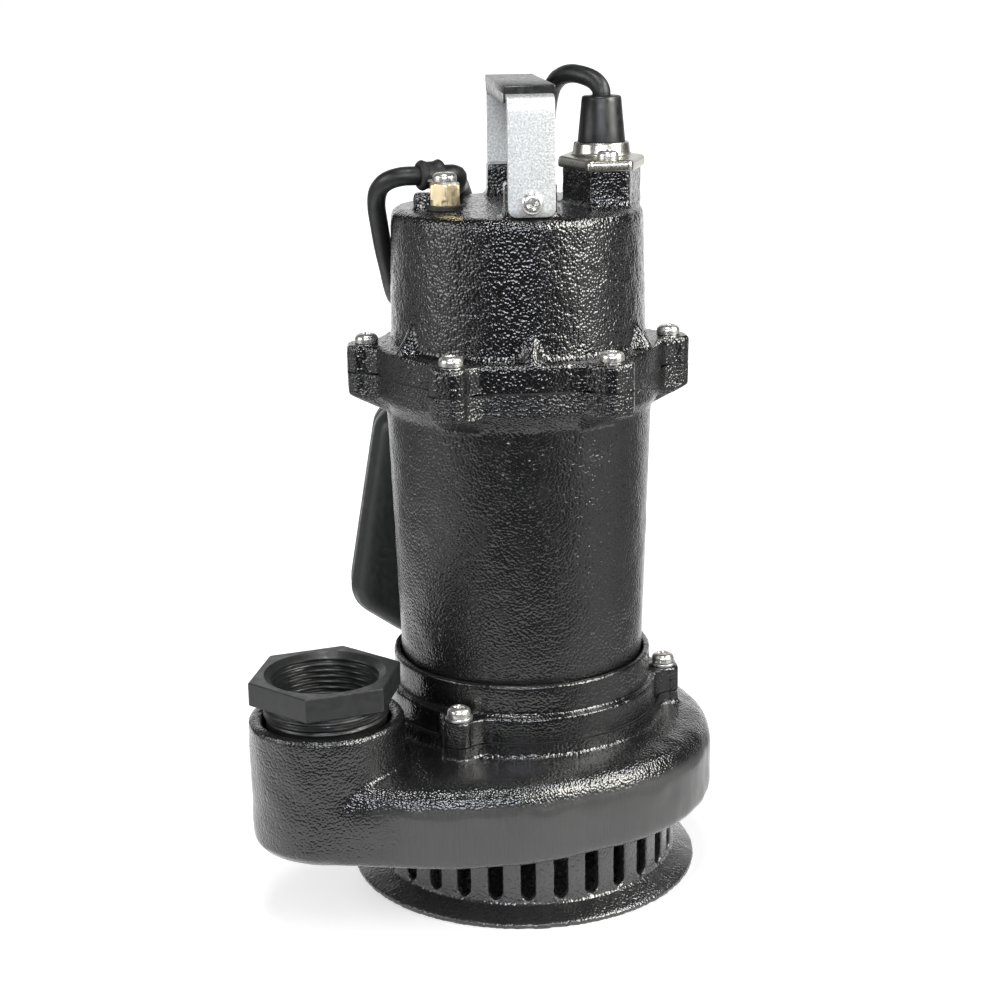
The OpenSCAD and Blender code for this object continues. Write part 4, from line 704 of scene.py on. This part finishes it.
# Strainer base
bm = bmesh.new()
cad_into(bm, "strainer_base")
mesh = voxel_skin(bm, "strainer_base_casting", 0.8)
soften(mesh, 2)
lumps(mesh, 0.15, 8, lambda p: ramp01(p[:, 2], 0.5, 2))
place("strainer_base_casting", mesh, CAST_BASE, "pump", "cast_body", ["strainer_base"], 0)


# ---------------------------------------------------------------- fittings


def fitting(name, bm, material, slot, node, body="pump", sharp=32):
    place(name, mesh_from(bm, name), material, body, slot, [node], sharp)


def softened(name, node, material, slot, voxel, rounds, body="pump"):
    """A CAD solid with its edges rounded."""
    bm = bmesh.new()
    cad_into(bm, node)
    mesh = voxel_skin(bm, name, voxel)
    soften(mesh, rounds)
    place(name, mesh, material, body, slot, [node], 0)


def ridge(phase):
    """A thread's profile: 0 in the root, 1 at the crest."""
    t = abs((phase % 1.0) - 0.5) * 2
    return min(1.0, max(0.0, (t - 0.12) / 0.7))


def thread_rows(r, depth, z0, z1, pitch, rows_per_turn=9):
    """Rings of a helical thread from z0 to z1; depth is from root to crest, minus for an inside thread."""
    n = int(abs(z1 - z0) / pitch * rows_per_turn)
    out = []
    for i in range(n + 1):
        z = z0 + (z1 - z0) * i / n
        edge = min(1.0, abs(z - z0) / pitch, abs(z - z1) / pitch)

        def radius(a, z=z, edge=edge):
            return r - depth * (1 - ridge(z / pitch - a / (2 * math.pi)) * edge)
        out.append((radius, z))
    return out


# Discharge adapter: outer thread, chamfered hexagon, machined mouth and a pipe thread
thread_low = heights("discharge_adapter")[0]
boss_top = heights("volute")[1]
hex_low, port_top = boss_top + 8, boss_top + 18.3
hexagon_half, hexagon_bevel = 28.6, 0.45


def hexagon(half, turn, power):
    return many_sided([half] * 6, [turn + 30 + 60 * k for k in range(6)], power)


def capped(shape, limit):
    return lambda a: min(shape(a), limit)


wide = hexagon(hexagon_half, 16, 400)
narrow = hexagon(hexagon_half - hexagon_bevel, 16, 400)
bm = bmesh.new()
polar_loft(bm, [(21, thread_low), (25.6, thread_low), (26.3, thread_low + 1)]
           + thread_rows(26.4, 1.1, boss_top - 1.5, hex_low - 0.9, 2.7)
           + [(26.0, hex_low - 0.2), (26.3, hex_low), (narrow, hex_low), (wide, hex_low + hexagon_bevel),
              (wide, port_top - hexagon_bevel), (narrow, port_top), (25.5, port_top),
              (25.2, port_top - 0.35), (23.6, port_top - 1.3), (22.6, port_top - 2.2)]
           + thread_rows(22.4, -1.25, port_top - 2.4, port_top - 22, 2.6)
           + [(22.2, port_top - 24), (21, port_top - 24)],
           360, shift(*DISCHARGE), closed=True)
fitting("threaded_adapter", bm, ADAPTER, "dark_plastic", "discharge_adapter", sharp=24)


def pan_head(bm, at, r, h, shank, length, turn):
    """A domed pan head with a cross recess, on its shank; its seat is at z = 0."""
    t = math.radians(turn)
    side = 0.42 * h
    rows = [(shank * 0.8, -length), (shank, -length + 0.6), (shank, 0), (r * 0.95, 0), (r, 0.2), (r, side)]
    for k in range(1, 8):
        f = math.pi / 2 * k / 8
        rows.append((r * (0.5 + 0.5 * math.cos(f)), side + (h - side) * math.sin(f)))
    reach, width, deep = 0.5 * r, 0.13 * r, 0.5 * h
    n = 12
    for i in range(n):
        rho = r * 0.5 * (1 - i / n) + 0.12

        def height(a, rho=rho):
            x, y = abs(rho * math.cos(a - t)), abs(rho * math.sin(a - t))
            arm = min(1.0, max(0.0, (width - min(x, y)) / 0.12 + 0.5))
            into = min(1.0, max(0.0, (reach - rho) / (0.3 * r)))
            return h - deep * arm * into
        rows.append((rho, height))
    polar_loft(bm, rows, 64, at)


def screws(name, node, places, r, h, shank, length):
    bm = bmesh.new()
    for k, at in enumerate(places):
        pan_head(bm, at, r, h, shank, length, 20 + 37 * k)
    fitting(name, bm, NICKEL, "bright_screws", node, sharp=40)


cap_flange_top, cap_top = cap_low + 11.3, cap_low + 68.4
washer_top = housing_low + 1.4
post_top = cap_top + 11.8
collar_h = 5.7
collar_top = heights("gland_plate")[1]
plate_top = collar_top - collar_h
HANDLE_X, STRAP_W, STRAP_SPAN, STRAP_T = 1.3, 19, 101, 2
STRAP_LOW, STRAP_TOP = heights("handle_strap")
GLAND, GLAND_SCREW_Y = (36.5, 4), 19
POST = (-31.5, -22)
screws("flange_pan_screws", "flange_screws",
       [out_at(a, FLANGE_RING, cap_flange_top) for a in FLANGE_LUGS], 5, 4, 2.5, 20)
screws("bracket_pan_screws", "bracket_screws",
       [out_at(a, BRACKET_RING, washer_top) for a in BRACKET_LUGS], 5, 4, 2.5, 24)
screws("handle_pan_screws", "handle_screws",
       [shift(HANDLE_X, s * STRAP_SPAN / 2, cap_top + 6)
        @ Matrix.Rotation(math.radians(-s * 90), 4, "X") for s in (-1, 1)], 4.6, 3, 2.5, 11)
screws("gland_pan_screws", "gland_screws",
       [shift(GLAND[0], GLAND[1] + s * GLAND_SCREW_Y, plate_top) for s in (-1, 1)], 4.6, 3.6, 2, 12)
screws("post_pan_screw", "clamp_screw", [shift(*POST, post_top + 0.8)], 5, 3.6, 2, 6)

# Split spring washers under the bracket's screws
bm = bmesh.new()
for lug in BRACKET_LUGS:
    at = out_at(lug, BRACKET_RING, housing_low)
    rows = []
    for k in range(45):
        a = math.radians(75 + 350 * k / 44)
        lift = 0.3 * (k / 44 - 0.5)
        section = ((2.7, 0.15), (5.5, 0), (5.8, 0.25), (5.8, 1.1 + lift), (5.5, 1.35 + lift),
                   (2.7, 1.25 + lift))
        rows.append([bm.verts.new(at @ v_mm(r * math.cos(a), r * math.sin(a), z)) for r, z in section])
    swept(bm, rows)
fitting("split_washers", bm, STEEL, "zinc_steel", "spring_washers", sharp=28)


def rounded_section(w, t, r=0.35):
    """A flat bar's section with softened corners: (across, through) in mm."""
    out = []
    for sx, sy, start in ((1, 1, 0), (-1, 1, 90), (-1, -1, 180), (1, -1, 270)):
        for k in range(4):
            a = math.radians(start + 30 * k)
            out.append((sx * (w / 2 - r) + r * math.cos(a), sy * (t / 2 - r) + r * math.sin(a)))
    return out


# Handle strap: a bar bent to a U, with rounded lower corners
# Each step has its y and z, its direction, and how far up the corner it lies
bend, corner = 5, 3.2
half = STRAP_SPAN / 2 - STRAP_T / 2
top = STRAP_TOP - STRAP_T / 2
path = [(-half, STRAP_LOW + d, 0, 1, d)
        for d in (0, 0.12, 0.4, 0.9, 1.6, 2.4, 3.2, 4.5, 8, 14, 22, 30, 37, 40)]
for k in range(13):
    a = math.radians(90 * k / 12)
    path.append((-half + bend - bend * math.cos(a), top - bend + bend * math.sin(a),
                 math.sin(a), math.cos(a), corner))
path += [(y, top, 1, 0, corner) for y in (-36, -24, -12, 0)]
mirrored = [(-y, z, dy, -dz, d) for y, z, dy, dz, d in reversed(path[:-1])]
bm = bmesh.new()
rows = []
for y, z, dy, dz, d in path + mirrored:
    inset = 0 if d >= corner else corner - math.sqrt(corner ** 2 - (corner - d) ** 2)
    narrowed = 1 - inset / (STRAP_W / 2)
    rows.append([bm.verts.new(v_mm(HANDLE_X + x * narrowed, y - dz * t, z + dy * t))
                 for x, t in rounded_section(STRAP_W, STRAP_T)])
swept(bm, rows)
fitting("bent_strap", bm, ZINC, "zinc_steel", "handle_strap", sharp=50)

# Grip: a slab with two side skirts that are toothed along their lower edge
grip_low, grip_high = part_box("handle_grip")
gl, gw = (grip_high.y - grip_low.y) / MM, (grip_high.x - grip_low.x) / MM
gz0, gz1 = grip_low.z / MM, grip_high.z / MM
mid = (gz1 + STRAP_TOP) / 2
bm = bmesh.new()
rows = []
for end, inward, shrink in ((-1, 0, 0.5), (-1, 0.2, 0.2), (-1, 0.6, 0),
                            (1, 0.6, 0), (1, 0.2, 0.2), (1, 0, 0.5)):
    rows.append([bm.verts.new(v_mm(HANDLE_X + x * (1 - 2 * shrink / gw), end * (gl / 2 - inward),
                                   mid + z * (1 - shrink / 2)))
                 for x, z in rounded_section(gw, gz1 - STRAP_TOP, 0.6)])
swept(bm, rows)
teeth, bite, skirt_t = 16, 1.7, 0.95
edge = [(gl / 2 - 0.4, STRAP_TOP + 1), (-gl / 2 + 0.4, STRAP_TOP + 1), (-gl / 2 + 0.4, gz0 + 0.4)]
for k in range(teeth):
    y = -gl / 2 + 0.8 + (gl - 1.6) * (k + 0.5) / teeth
    edge += [(y - 1.9, gz0), (y - 1.7, gz0 + 0.1), (y, gz0 + bite), (y + 0.35, gz0 + bite), (y + 0.5, gz0)]
edge.append((gl / 2 - 0.4, gz0 + 0.4))
for side in (-1, 1):
    at = (shift(HANDLE_X + side * (gw / 2 - 1.15), 0)
          @ Matrix(((0, 0, 1, 0), (1, 0, 0, 0), (0, 1, 0, 0), (0, 0, 0, 1))))
    prism(bm, edge, min(0, side * skirt_t), max(0, side * skirt_t), at)
fitting("serrated_grip", bm, GRIP, "black_plastic", "handle_grip", sharp=30)

# Gland: a pressed plate with a turned-down rim and a drawn collar
half_w, half_l, end_w = 16.8, 25, 8


def gland_shape(grow):
    """The plate's six-sided outline, wide in the middle, grown by some mm."""
    w, l, e = half_w + grow, half_l + grow, end_w + grow * 0.6
    slant = math.degrees(math.atan2(w - e, l))
    across = w * math.cos(math.radians(slant))
    return many_sided([l, l, across, across, across, across],
                      [90, 270, slant, 180 - slant, 180 + slant, -slant], 40)


rim = [(0.7, -1.6), (0.95, -2), (0.95, -4.4), (1.3, -4.5), (1.75, -4.3), (1.9, -3.8), (1.9, -1.7),
       (1.7, -0.9), (1.2, -0.3), (0.4, 0), (-1, 0.05)]
collar = [(14.2, 0.1), (13, 0.3), (12.4, 0.9), (12.1, 1.8), (11.8, 4.6), (11.6, 5.4), (11.2, collar_h),
          (10.6, collar_h), (10.1, 5.4), (9.7, 4.8)]
bm = bmesh.new()
polar_loft(bm, [(r, plate_top + z) for r, z in
                [(9.7, -1.5)] + [(gland_shape(grow), z) for grow, z in rim] + collar],
           192, shift(*GLAND), closed=True)
fitting("pressed_gland", bm, GLAND_METAL, "gland_metal", "gland_plate", sharp=0)

# Strain relief: a tapered rubber sleeve, its mouth softened where the cord comes out
bm = bmesh.new()
z0, z1 = heights("strain_relief")
polar_loft(bm, [(9.5, z0), (9.6, collar_top - 0.3), (10, collar_top - 0.1), (10.05, collar_top + 0.4),
                (9.6, collar_top + 5), (9.1, collar_top + 10), (8.45, z1 - 2), (8.25, z1 - 0.7),
                (7.9, z1 - 0.2), (7.2, z1), (5.2, z1 - 0.05), (4.5, z1 - 0.35), (4.1, z1 - 1.2)],
           96, shift(*GLAND))
fitting("tapered_relief", bm, RUBBER, "black_rubber", "strain_relief", sharp=0)

# Brass post: a hexagon chamfered at both ends, over its stud
post_hex = hexagon(6, 28, 90)
post_low = post_top - 9
bm = bmesh.new()
polar_loft(bm, [(2.6, post_low - 7), (3, post_low - 6.5), (3, post_low), (capped(post_hex, 5.9), post_low),
                (capped(post_hex, 6.25), post_low + 0.3), (capped(post_hex, 6.3), post_low + 2.1),
                (capped(post_hex, 6.45), post_low + 2.4), (post_hex, post_low + 2.7),
                (post_hex, post_top - 0.8), (capped(post_hex, 6.5), post_top - 0.45),
                (capped(post_hex, 6.0), post_top - 0.05), (5.6, post_top)],
           120, shift(*POST))
fitting("chamfered_post", bm, BRASS, "brass", "brass_post", sharp=20)

# Clamp cushion: a rubber sleeve over the clamp's band, with a rounded hump at each end
clamp_turn, clamp_reach = math.radians(20), 15
at = (shift(POST[0] - clamp_reach * math.sin(clamp_turn), POST[1] + clamp_reach * math.cos(clamp_turn),
            post_top + 2)
      @ Matrix.Rotation(clamp_turn, 4, "Z") @ Matrix.Rotation(math.radians(90), 4, "Y"))
bm = bmesh.new()
outside = []
for k in range(25):
    z = -5.6 + 11.2 * k / 24
    hump = math.exp(-((abs(z) - 3.7) / 1.35) ** 2)
    end = math.sqrt(max(0.0, 1 - max(0.0, (abs(z) - 4.2) / 1.4) ** 2))
    outside.append((4.5 + (1.05 + 0.75 * hump) * (0.25 + 0.75 * end), z))
polar_loft(bm, [(4.06, -5.5)] + outside + [(4.06, 5.5)], 72, at, closed=True)
fitting("clamp_sleeve", bm, CUSHION, "black_rubber", "clamp_cushion", sharp=0)

# Float: two moulded half shells with rounded edges, and their ringed boot
softened("float_shell_front", "float_front_shell", FLOAT, "dark_plastic", 0.9, 8, "float")
softened("float_shell_rear", "float_rear_shell", FLOAT, "dark_plastic", 0.9, 8, "float")
low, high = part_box("float_boot")
z0, z1 = low.z / MM, high.z / MM
rows = [(3.98, z0), (7.9, z0), (8, z0 + 0.4), (8, z0 + 8.2)]
for k in range(4):
    z = z0 + 8.6 + 3.4 * k
    r = 8 - 2.4 * (z - z0 - 9) / 15
    rows += [(r, z), (r, z + 1.9), (r - 1.0, z + 2.2), (r - 1.1, z + 2.9), (r - 0.3, z + 3.2)]
rows += [(5.7, z1 - 1.2), (5.5, z1 - 0.3), (4.9, z1), (4.1, z1)]
bm = bmesh.new()
polar_loft(bm, rows, 72, shift((low.x + high.x) / 2 / MM, (low.y + high.y) / 2 / MM), closed=True)
fitting("ringed_boot", bm, RUBBER, "black_rubber", "float_boot", "float", sharp=40)

# Ties round the coiled cords
softened("tie_bands", "coil_ties", WEBBING, "black_plastic", 0.45, 2)


# ---------------------------------------------------------------- camera, floor and light


def add_camera():
    """The photograph's viewpoint: a place, and the camera's right, up and back directions."""
    right_tilt, down, roll, focal_px, turn = -0.010857, 0.267823, -0.014055, 1917.22, 5.4
    c, s = math.cos(math.radians(turn)), math.sin(math.radians(turn))

    def to_part(v):
        return Vector((v[0] * c + v[1] * s, -v[0] * s + v[1] * c, v[2]))

    ahead = Vector((math.sin(right_tilt) * math.cos(down), math.cos(right_tilt) * math.cos(down),
                    -math.sin(down)))
    right = Vector((math.cos(right_tilt), -math.sin(right_tilt), 0))
    up = right.cross(ahead)
    axes = [right * math.cos(roll) + up * math.sin(roll),
            up * math.cos(roll) - right * math.sin(roll), -ahead]
    data = bpy.data.cameras.new("camera")
    data.sensor_width = 36
    data.lens = focal_px * 36 / 1000
    data.clip_start, data.clip_end = 0.05, 60
    camera = bpy.data.objects.new("camera", data)
    turned = Matrix([to_part(a) for a in axes]).transposed().to_4x4()
    camera.matrix_world = Matrix.Translation(to_part((0, -0.81158, 0.39003))) @ turned
    bpy.context.scene.collection.objects.link(camera)
    bpy.context.scene.camera = camera


def add_area(name, place_at, aim, size, power, color=(1, 1, 1), size_y=None, on_diffuse=True):
    data = bpy.data.lights.new(name, "AREA")
    data.energy, data.size, data.color = power, size, color
    if size_y:
        data.shape, data.size_y = "RECTANGLE", size_y
    lamp = bpy.data.objects.new(name, data)
    lamp.location = place_at
    lamp.visible_diffuse = on_diffuse
    lamp.rotation_euler = (Vector(aim) - lamp.location).to_track_quat("-Z", "Y").to_euler()
    bpy.context.scene.collection.objects.link(lamp)


def calc(nodes, links, op, *values):
    node = nodes.new("ShaderNodeMath")
    node.operation = op
    for socket, value in zip(node.inputs, values):
        if isinstance(value, bpy.types.NodeSocket):
            links.new(value, socket)
        else:
            socket.default_value = value
    return node.outputs[0]


def ray_kind(nodes, links, *names):
    """1 where a ray is one of the named kinds."""
    path = nodes.new("ShaderNodeLightPath")
    top = path.outputs[names[0]]
    for name in names[1:]:
        top = calc(nodes, links, "MAXIMUM", top, path.outputs[name])
    return top


def ramp(nodes, links, value, low, high, to_low, to_high):
    node = nodes.new("ShaderNodeMapRange")
    node.interpolation_type = "SMOOTHSTEP"
    links.new(value, node.inputs["Value"])
    for key, number in (("From Min", low), ("From Max", high), ("To Min", to_low), ("To Max", to_high)):
        node.inputs[key].default_value = number
    return node.outputs["Result"]


def brightness_round(nodes, links, vector):
    """How bright gloss sees the floor: dim in front, paler to each side, dim again, white behind."""
    axes = nodes.new("ShaderNodeSeparateXYZ")
    links.new(vector, axes.inputs[0])
    turn = calc(nodes, links, "ARCTAN2", axes.outputs["X"],
                calc(nodes, links, "MULTIPLY", axes.outputs["Y"], -1))
    away = calc(nodes, links, "ABSOLUTE", calc(nodes, links, "ADD", turn, math.radians(8)))
    total = 0
    # From and to in degrees off the view's axis, and the change between them
    for start, end, change in ((25, 60, 0.42), (84, 106, -0.27), (132, 160, 0.85)):
        step = ramp(nodes, links, away, math.radians(start), math.radians(end), 0, change)
        total = calc(nodes, links, "ADD", total, step)
    return total


def either(nodes, links, factor, plain, other):
    mix = nodes.new("ShaderNodeMixShader")
    links.new(factor, mix.inputs[0])
    links.new(plain, mix.inputs[1])
    links.new(other, mix.inputs[2])
    return mix.outputs[0]


def add_floor():
    """A plain pale floor: white to the eye, behind and beside the part, with the part's shadow on it."""
    bm = bmesh.new()
    bmesh.ops.create_grid(bm, x_segments=8, y_segments=8, size=30)
    floor = bpy.data.objects.new("floor", mesh_from(bm, "floor"))
    mat = bpy.data.materials.new("floor")
    mat.use_nodes = True
    nodes, links = mat.node_tree.nodes, mat.node_tree.links
    nodes.remove(nodes["Principled BSDF"])
    diffuse = nodes.new("ShaderNodeBsdfDiffuse")
    diffuse.inputs["Color"].default_value = (0.86, 0.86, 0.86, 1)
    place = nodes.new("ShaderNodeTexCoord").outputs["Object"]
    apart, beside = nodes.new("ShaderNodeVectorMath"), nodes.new("ShaderNodeVectorMath")
    apart.operation, beside.operation = "LENGTH", "DISTANCE"
    links.new(place, apart.inputs[0])
    links.new(place, beside.inputs[0])
    beside.inputs[1].default_value = (-0.1, 0.02, 0)
    glow = nodes.new("ShaderNodeEmission")
    links.new(ramp(nodes, links, apart.outputs["Value"], 0.35, 1.3, 0.5, 1.0), glow.inputs["Strength"])
    lit = nodes.new("ShaderNodeAddShader")
    links.new(diffuse.outputs[0], lit.inputs[0])
    links.new(glow.outputs[0], lit.inputs[1])
    # Gloss sees the same floor close by and behind the part, and a dimmer one further out in front
    dim = nodes.new("ShaderNodeEmission")
    dim.inputs["Strength"].default_value = 0.06
    white = calc(nodes, links, "MAXIMUM", brightness_round(nodes, links, place),
                 ramp(nodes, links, beside.outputs["Value"], 0.27, 0.36, 1.0, 0.0))
    gloss = either(nodes, links, white, dim.outputs[0], lit.outputs[0])
    eye = either(nodes, links, ray_kind(nodes, links, "Is Camera Ray"), diffuse.outputs[0], lit.outputs[0])
    bounced = ray_kind(nodes, links, "Is Glossy Ray", "Is Transmission Ray")
    links.new(either(nodes, links, bounced, eye, gloss), nodes["Material Output"].inputs["Surface"])
    floor.data.materials.append(mat)
    bpy.context.scene.collection.objects.link(floor)
    floor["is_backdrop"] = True


def add_world():
    """Even light; white to the eye, and to gloss a low white backdrop behind the part in a dim room."""
    world = bpy.data.worlds.new("studio")
    bpy.context.scene.world = world
    world.use_nodes = True
    nodes, links = world.node_tree.nodes, world.node_tree.links
    light = nodes["Background"]
    light.inputs["Color"].default_value = (1, 1, 1, 1)
    light.inputs["Strength"].default_value = 0.32
    white = nodes.new("ShaderNodeBackground")
    gloss = nodes.new("ShaderNodeBackground")
    for node in (white, gloss):
        node.inputs["Color"].default_value = (1, 1, 1, 1)
    axes = nodes.new("ShaderNodeSeparateXYZ")
    links.new(nodes.new("ShaderNodeTexCoord").outputs["Generated"], axes.inputs[0])
    backdrop = calc(nodes, links, "MULTIPLY_ADD", ramp(nodes, links, axes.outputs["Y"], 0.6, 0.9, 0.0, 0.93),
                    ramp(nodes, links, axes.outputs["Z"], 0.4, 0.75, 1.0, 0.0), 0.07)
    links.new(backdrop, gloss.inputs["Strength"])
    seen = either(nodes, links, ray_kind(nodes, links, "Is Glossy Ray", "Is Transmission Ray"),
                  light.outputs[0], gloss.outputs[0])
    links.new(either(nodes, links, ray_kind(nodes, links, "Is Camera Ray"), seen, white.outputs[0]),
              nodes["World Output"].inputs["Surface"])


add_camera()
add_floor()
add_world()
add_area("softbox_left", (-1.3, -0.4, 0.7), (0, 0, 0.2), 0.8, 9)
add_area("softbox_right", (1.13, -0.75, 0.75), (0, 0, 0.2), 0.8, 16)
add_area("warm_band", (1.05, -0.8, 0.95), (0, 0, 0.2), 0.7, 18, (1, 0.98, 0.86), None, False)
add_area("top_box", (-0.12, -0.4, 1.7), (0, 0, 0.1), 0.4, 10)
add_area("top_right", (0.95, -0.1, 1.3), (0, 0, 0.05), 0.7, 12, (1, 1, 1), 0.45, False)
# A strip above the camera, which gloss alone shows, as a row of small glints
add_area("glint_strip", (-0.15, -1.3, 0.72), (0, 0, 0.2), 0.9, 12, (0.9, 0.93, 1.0), 0.32, False)

bpy.context.scene.view_settings.view_transform = "Standard"

low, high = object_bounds()
